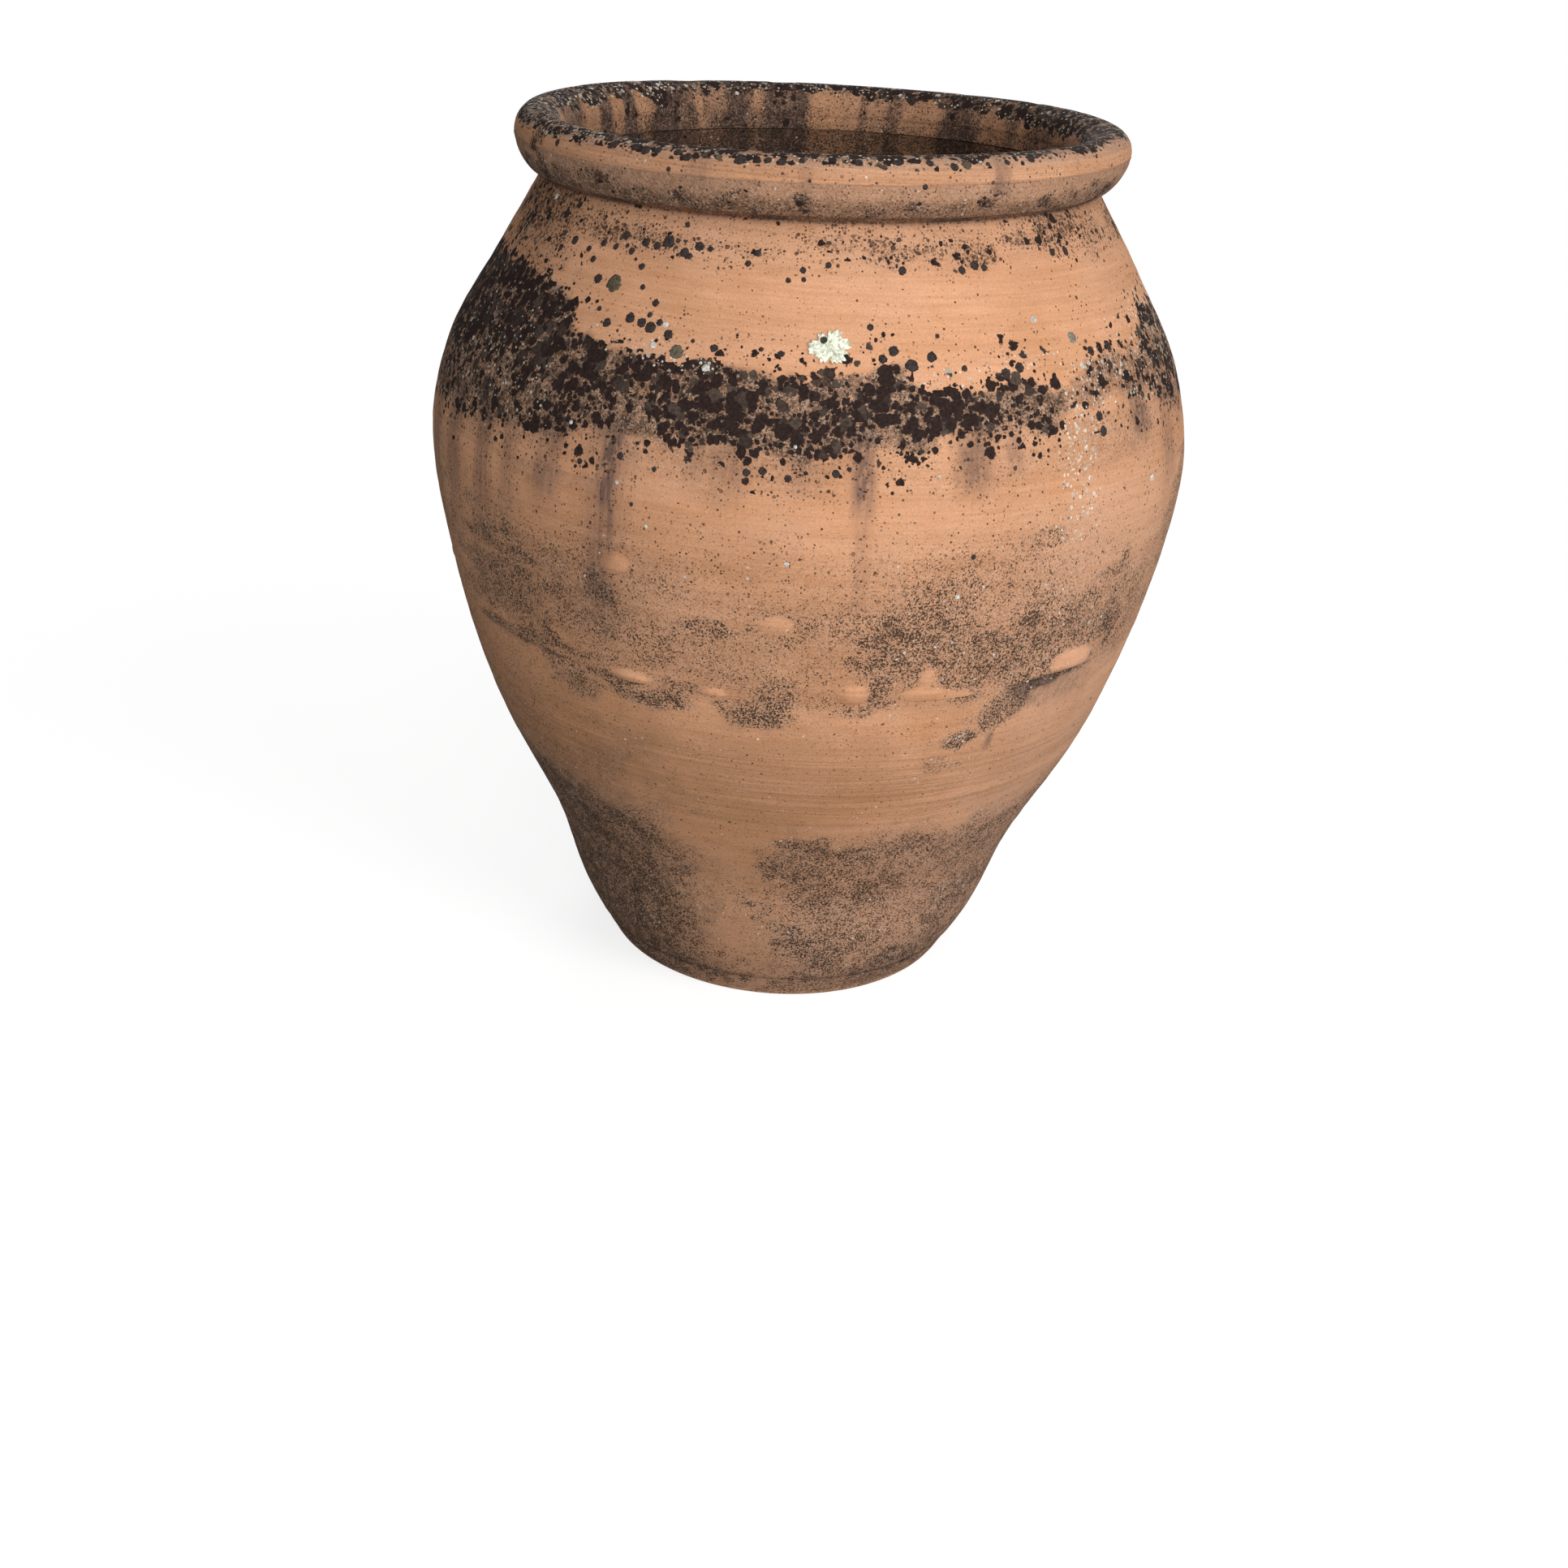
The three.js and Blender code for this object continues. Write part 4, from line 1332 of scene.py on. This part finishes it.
# Darker toward the bottom of the roll: grime there, and painted shade under the roll.
grime_and_underside_shade = smooth_step(0.7230, 0.7120, rim_z + 0.002 * mottle(turn, rim_z, 0.06, 0.02, 119))
near_crest = smooth_step(0.7400, 0.7455, rim_z)
# Painted highlight: a thin line just above the cut is kept clear of damp, bloom and film, so it shows light.
cut_highlight = 1 - 0.8 * smooth_step(0.0016, 0.0004, abs(rim_z - cut_height - 0.0014))
# The lower band, under the cut line, is painted darker: grey dirt there, and painted shade on the roll's
# underside.
dirt_and_shade = 0.08 + lower_band * (0.22 + 0.22 * left_rim_shade) + 0.30 * grime_and_underside_shade + 0.24 * near_crest
groove_shade = smooth_step(0.7084, 0.7066, rim_z)
cut_shade = 0.40 * smooth_step(0.0010, 0.0002, abs(rim_z - cut_height + 0.0003))
outside_coats = {
    "damp": (0.20 + 0.26 * lower_band + 0.46 * grime_and_underside_shade) * cut_highlight,
    "bloom": (0.05 + 0.22 * lower_band + 0.30 * near_crest) * cut_highlight,
    "film": (dirt_and_shade + 0.50 * rim_stains) * cut_highlight,
    "algae": np.maximum(0.12 + 0.14 * lower_band + 0.30 * grime_and_underside_shade, rim_stains),
    "drips": rim_runs + groove_shade + cut_shade,
    "specks": 0.15 + 0.10 * near_crest + 0.06 * mottle(turn, rim_z, 0.06, 0.04, 116) + 0.70 * rim_stains,
    "lichen": np.maximum(1.7 * spotted, 0.34 * rim_stains),
    "pale": 0.02 + 0.05 * near_crest,
    "rings": 0.8,
}
rim_coats = {name: outside * outside_coats[name] + (1 - outside) * mouth[name] for name in mouth}
rim_coats["lichen"] = np.maximum(rim_coats["lichen"], 0.86 * black_crest)
rim_coats["film"] = np.maximum(rim_coats["film"], 0.9 * black_crest**3)
crest_crusts = (0.34 + 0.20 * smooth_step(-20, -70, azimuth)) * black_crest
rim_coats["pale"] = np.maximum(rim_coats["pale"], crest_crusts)
paint(rim_roll, **rim_coats)
weathered_clay(rim_roll)
join_frame(rim_roll, "rim_roll")


# Scattered colonies
# Round crusts of lichen that stand alone beside the band, on the belly and on the rim, each a few
# millimetres across and less than a millimetre thick: most are black, some olive, some pale grey.
# Each is its azimuth, its height and its radius.
black_colonies = [
    (-41.0, 0.662, 0.0032), (-38.2, 0.650, 0.0044), (-40.0, 0.674, 0.0036), (-43.0, 0.668, 0.0030),
    (-47.5, 0.671, 0.0042), (-50.5, 0.664, 0.0032), (-37.0, 0.673, 0.0030), (-34.6, 0.675, 0.0022),
    (-33.3, 0.672, 0.0033), (-31.0, 0.679, 0.0040), (-28.5, 0.678, 0.0038), (-26.5, 0.682, 0.0052),
    (-23.0, 0.676, 0.0040), (-21.9, 0.674, 0.0030), (-20.4, 0.681, 0.0042), (-18.3, 0.680, 0.0026),
    (-9.8, 0.680, 0.0030), (2.4, 0.675, 0.0028), (25.8, 0.671, 0.0034), (28.4, 0.674, 0.0042),
    (30.2, 0.672, 0.0032), (46.8, 0.677, 0.0036), (50.6, 0.676, 0.0040), (-30.2, 0.663, 0.0031),
    (-28.8, 0.650, 0.0026), (-25.6, 0.641, 0.0033), (-33.2, 0.623, 0.0043), (-35.6, 0.631, 0.0025),
    (-29.3, 0.629, 0.0046), (-27.0, 0.627, 0.0044), (-25.3, 0.625, 0.0052), (-24.0, 0.629, 0.0031),
    (-22.0, 0.622, 0.0043), (-26.0, 0.633, 0.0025), (-14.3, 0.617, 0.0035), (-4.2, 0.617, 0.0030),
    (-7.2, 0.619, 0.0022), (-17.8, 0.620, 0.0019), (-11.2, 0.673, 0.0028), (-4.1, 0.664, 0.0024),
    (-1.6, 0.665, 0.0022), (-1.8, 0.671, 0.0029), (9.2, 0.636, 0.0030), (15.0, 0.672, 0.0038),
    (12.6, 0.621, 0.0045), (10.9, 0.616, 0.0038), (15.2, 0.612, 0.0058), (18.4, 0.617, 0.0045),
    (23.3, 0.609, 0.0027), (19.7, 0.630, 0.0021), (32.6, 0.607, 0.0045), (30.0, 0.604, 0.0047),
    (48.1, 0.610, 0.0043), (53.0, 0.611, 0.0038), (45.9, 0.567, 0.0045), (46.3, 0.556, 0.0047),
    (-31.4, 0.527, 0.0027), (-25.2, 0.537, 0.0033), (-20.0, 0.532, 0.0023), (-22.8, 0.504, 0.0019),
    (-7.4, 0.538, 0.0033), (-5.3, 0.540, 0.0035), (-1.9, 0.536, 0.0033), (4.3, 0.541, 0.0033),
    (23.4, 0.479, 0.0023), (95.0, 0.641, 0.0046), (118.0, 0.652, 0.0036), (139.0, 0.640, 0.0050),
    (163.0, 0.655, 0.0040), (-171.0, 0.662, 0.0036), (-150.0, 0.668, 0.0042), (-118.0, 0.672, 0.0034),
    (-52.2, 0.7395, 0.0030), (-38.2, 0.7455, 0.0042), (-33.2, 0.7462, 0.0040), (-30.8, 0.7450, 0.0045),
    (-28.4, 0.7460, 0.0038), (-24.6, 0.7462, 0.0036), (-22.5, 0.7440, 0.0040), (-25.4, 0.7348, 0.0021),
    (-13.2, 0.7452, 0.0054), (-8.6, 0.7460, 0.0030), (-6.2, 0.7454, 0.0038), (-3.0, 0.7465, 0.0028),
    (-1.5, 0.7340, 0.0015), (6.4, 0.7465, 0.0036), (12.9, 0.7468, 0.0036), (18.4, 0.7466, 0.0034),
    (17.4, 0.7312, 0.0024), (22.6, 0.7440, 0.0036), (29.0, 0.7452, 0.0022), (33.0, 0.7456, 0.0028),
    (38.4, 0.7466, 0.0040),
]
olive_colonies = [
    (-34.6, 0.649, 0.0076), (-20.0, 0.612, 0.0062), (44.8, 0.621, 0.0050), (65.0, 0.612, 0.0046),
    (25.0, 0.7450, 0.0044), (-17.0, 0.7456, 0.0032), (150.0, 0.648, 0.0068),
]
pale_colonies = [
    (37.6, 0.636, 0.0031), (-22.9, 0.628, 0.0027), (-24.0, 0.614, 0.0031), (-15.0, 0.604, 0.0036),
    (-20.5, 0.489, 0.0018), (-6.5, 0.460, 0.0014), (-1.5, 0.474, 0.0020), (21.8, 0.448, 0.0022),
    (36.0, 0.448, 0.0014), (39.5, 0.441, 0.0013), (37.5, 0.361, 0.0015), (22.2, 0.409, 0.0013),
    (29.5, 0.393, 0.0013), (39.8, 0.422, 0.0012), (47.8, 0.402, 0.0019), (51.0, 0.403, 0.0014),
    (-1.2, 0.558, 0.0016), (18.2, 0.539, 0.0016), (-25.2, 0.518, 0.0018), (-60.6, 0.695, 0.0030),
    (58.2, 0.510, 0.0032), (45.0, 0.602, 0.0027), (-34.0, 0.553, 0.0020), (128.0, 0.628, 0.0032),
    (-135.0, 0.640, 0.0030),
]
colony_spokes = 20
colony_rings = 4
growing = np.random.default_rng(7)
rim_face_rows = rim_outline[:, 1].argmax() + 1


def clay_surface(height, column):
    """Outer radius of the finished clay at heights on the wall or on the rim, in one column of it."""
    wall = wall_radius(np.minimum(height, neck_joint)) + thrown_surface(height[..., None])[..., column]
    face = np.interp(height, rim_skin_height[:rim_face_rows, column], rim_skin_radius[:rim_face_rows, column])
    return np.where(height < neck_joint, wall, face)


def crust(centre, middle, reach, thickness):
    """Points of a thin crust on the wall, ring by ring from its middle to its edge. reach is the
    distance to its edge along each spoke, and thickness is a grid of rings and spokes."""
    count = len(reach)
    spoke = np.linspace(0, 2 * math.pi, count, endpoint=False)
    out = np.linspace(0.05, 1, len(thickness))[:, None]
    column = round(math.radians(centre % 360) / (2 * math.pi) * columns) % columns
    below, clay, above = clay_surface(np.array([middle - 0.001, middle, middle + 0.001]), column)
    lean = (above - below) / 0.002
    around = math.radians(centre) + out * reach * np.cos(spoke) / clay
    height = middle + out * reach * np.sin(spoke) / math.hypot(1, lean)
    radius = clay_surface(height, column) + thickness
    return settled(radius * np.sin(around), -radius * np.cos(around), height).reshape(-1, 3)


def crust_faces(rings, count, first=0):
    """Faces that close a crust: its rings, and the small polygon in its middle."""
    grid = first + np.arange(rings * count).reshape(rings, count)
    beside = np.roll(grid, -1, 1)
    faces = np.stack([grid[:-1], grid[1:], beside[1:], beside[:-1]], -1).reshape(-1, 4).tolist()
    return [*faces, grid[0].tolist(), grid[-1, ::-1].tolist()]


colony_points = []
colony_faces = []
colony_age = []
for age, group in ((0.0, black_colonies), (0.5, olive_colonies), (1.0, pale_colonies)):
    for centre, middle, reach in group:
        edge = reach * (1 + 0.13 * growing.uniform(-1, 1, colony_spokes))
        dome = np.array([0.00055, 0.00060, 0.00045, -0.00030])[:, None] * np.ones(colony_spokes)
        dome = dome + 0.00012 * growing.uniform(-1, 1, dome.shape)
        colony_faces += crust_faces(colony_rings, colony_spokes, len(colony_points) * dome.size)
        colony_points.append(crust(centre, middle, edge, dome))
        colony_age += [age + 0.18 * growing.uniform(-1, 1)] * dome.size
lichen_colonies = new_piece("lichen_colonies", np.concatenate(colony_points), colony_faces)
paint(lichen_colonies, age=np.array(colony_age))


def lichen_finish(piece, young, middling, old):
    """Dry, crumbly lichen. Its three colours follow the age painted on the piece."""
    tree, shader = new_material(piece)
    age = add(tree, "ShaderNodeAttribute", attribute_name="age").outputs["Fac"]
    place = on_piece(tree)
    leafy = noise(tree, place, 420.0, 5.0, distortion=0.6)
    colour = blend(tree, ramp(tree, age, 0.20, 0.45), (*young, 1), (*middling, 1))
    colour = blend(tree, ramp(tree, age, 0.60, 0.85), colour, (*old, 1))
    shaded = ramp(tree, leafy, 0.32, 0.62, 0.58, 1.20)
    colour = scaled(tree, colour, shaded)
    bump = add(tree, "ShaderNodeBump", {"Strength": 0.8, "Distance": 0.0007, "Height": leafy})
    tree.links.new(colour, shader.inputs["Base Color"])
    tree.links.new(bump.outputs[0], shader.inputs["Normal"])
    shader.inputs["Roughness"].default_value = 0.95
    shader.inputs["Specular IOR Level"].default_value = 0.2


lichen_finish(
    lichen_colonies,
    young=(0.042, 0.031, 0.028),
    middling=(0.100, 0.078, 0.050),
    old=(0.56, 0.55, 0.50),
)
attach(lichen_colonies, "root")


# Lichen rosette
# A pale green leafy lichen about 29 mm wide that has grown on the shoulder over the black band.
# It is a thin crust of rounded lobes, and lifts a little from the clay at their tips.
rosette_azimuth = 3.0
rosette_height = 0.623
rosette_radius = 0.0140
rosette_spokes = 180
rosette_rings = 20
spoke = np.linspace(0, 2 * math.pi, rosette_spokes, endpoint=False)
lobes = np.random.default_rng(11)
notches = np.linspace(0, 2 * math.pi, 9, endpoint=False) + lobes.uniform(-0.25, 0.25, 9)
reach = 1 + 0.12 * np.cos(2 * spoke - 0.3) + 0.06 * np.cos(3 * spoke + 2.1)
for at in notches:
    across = np.angle(np.exp(1j * (spoke - at)))
    reach = reach - lobes.uniform(0.14, 0.42) * np.exp(-((across / lobes.uniform(0.08, 0.16)) ** 2))
reach = rosette_radius * (reach + 0.06 * np.cos(27 * spoke) + 0.05 * lobes.uniform(-1, 1, rosette_spokes))
out = np.linspace(0, 1, rosette_rings)[:, None]
nearest = np.min(abs(np.angle(np.exp(1j * (spoke[:, None] - notches)))), axis=1)
grooves = -0.0009 * np.exp(-((nearest / 0.06) ** 2)) * out
lift = 0.0012 + 0.0006 * out + grooves + 0.00040 * lobes.uniform(-1, 1, (rosette_rings, rosette_spokes))
lift[-1] = -0.0004
rosette_points = crust(rosette_azimuth, rosette_height, reach, lift)
lichen_rosette = new_piece("lichen_rosette", rosette_points, crust_faces(rosette_rings, rosette_spokes))
dark_spot = np.hypot(out * reach * np.cos(spoke) + 0.0045, out * reach * np.sin(spoke) - 0.0050)
paint(lichen_rosette, age=smooth_step(0.0018, 0.0036, dark_spot))
lichen_finish(
    lichen_rosette,
    young=(0.050, 0.040, 0.032),
    middling=(0.30, 0.30, 0.22),
    old=(0.74, 0.76, 0.62),
)
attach(lichen_rosette, "root")


# Studio
# A pale floor that runs out to a white background, soft lights on the right, in front, above and
# behind, and the camera at the photograph's viewing angle.
floor_size = 40.0
bpy.ops.mesh.primitive_plane_add(size=floor_size)
floor = bpy.context.object
floor.name = "floor"
tree, _ = new_material(floor)
tree.nodes.clear()
seen = tree.nodes.new("ShaderNodeLightPath").outputs["Is Camera Ray"]
place = on_piece(tree)
distance = add(tree, "ShaderNodeVectorMath", {0: place}, operation="LENGTH").outputs["Value"]
near = ramp(tree, distance, 0.55, 1.35, 1.0, 0.0)
far = multiplied(tree, seen, maths(tree, "SUBTRACT", 1.0, near))
matt = add(tree, "ShaderNodeBsdfDiffuse", {"Color": (0.42, 0.42, 0.42, 1)})
glow = add(tree, "ShaderNodeEmission", {"Color": (1, 1, 1, 1), "Strength": multiplied(tree, seen, 0.74)})
shadowed = add(tree, "ShaderNodeAddShader", {0: matt.outputs[0], 1: glow.outputs[0]})
white = add(tree, "ShaderNodeEmission", {"Color": (1, 1, 1, 1), "Strength": 1.0})
mixed = add(tree, "ShaderNodeMixShader", {0: far, 1: shadowed.outputs[0], 2: white.outputs[0]})
output = tree.nodes.new("ShaderNodeOutputMaterial")
tree.links.new(mixed.outputs[0], output.inputs["Surface"])

world = bpy.data.worlds.new("studio")
bpy.context.scene.world = world
world.use_nodes = True
tree = world.node_tree
tree.nodes.clear()
seen = tree.nodes.new("ShaderNodeLightPath").outputs["Is Camera Ray"]
sky = add(tree, "ShaderNodeBackground", {"Color": (1, 1, 1, 1), "Strength": 0.21})
white = add(tree, "ShaderNodeBackground", {"Color": (1, 1, 1, 1), "Strength": 1.0})
mixed = add(tree, "ShaderNodeMixShader", {0: seen, 1: sky.outputs[0], 2: white.outputs[0]})
output = tree.nodes.new("ShaderNodeOutputWorld")
tree.links.new(mixed.outputs[0], output.inputs["Surface"])


def soft_light(name, place, size, power):
    """A square soft box that faces the jar's belly."""
    lamp = bpy.data.lights.new(name, "AREA")
    lamp.size = size
    lamp.energy = power
    holder = bpy.data.objects.new(name, lamp)
    holder.location = place
    facing = Vector((0, 0, belly_height)) - Vector(place)
    holder.rotation_euler = facing.to_track_quat("-Z", "Y").to_euler()
    bpy.context.collection.objects.link(holder)


soft_light("key", (2.0, -1.9, 1.65), 1.6, 57)
soft_light("front", (-0.1, -2.8, 1.3), 1.8, 45)
soft_light("top", (0.3, 0.1, 3.0), 2.2, 6)
soft_light("back", (0.2, 2.8, 1.6), 2.0, 36)

camera_data = bpy.data.cameras.new("camera")
camera_data.lens = 43.23
camera = bpy.data.objects.new("camera", camera_data)
pitch, yaw, roll = (math.radians(angle) for angle in (26.06, -0.02, 3.82))
forward = Vector((math.sin(yaw) * math.cos(pitch), math.cos(yaw) * math.cos(pitch), -math.sin(pitch)))
level = Vector((math.cos(yaw), -math.sin(yaw), 0))
upright = level.cross(forward)
right = math.cos(roll) * level + math.sin(roll) * upright
up = math.cos(roll) * upright - math.sin(roll) * level
turned = Matrix((right, up, -forward)).transposed().to_4x4()
camera.matrix_world = Matrix.Translation((0.0, -1.6342, 0.9351)) @ turned
bpy.context.collection.objects.link(camera)
bpy.context.scene.camera = camera
bpy.context.scene.view_settings.view_transform = "Standard"
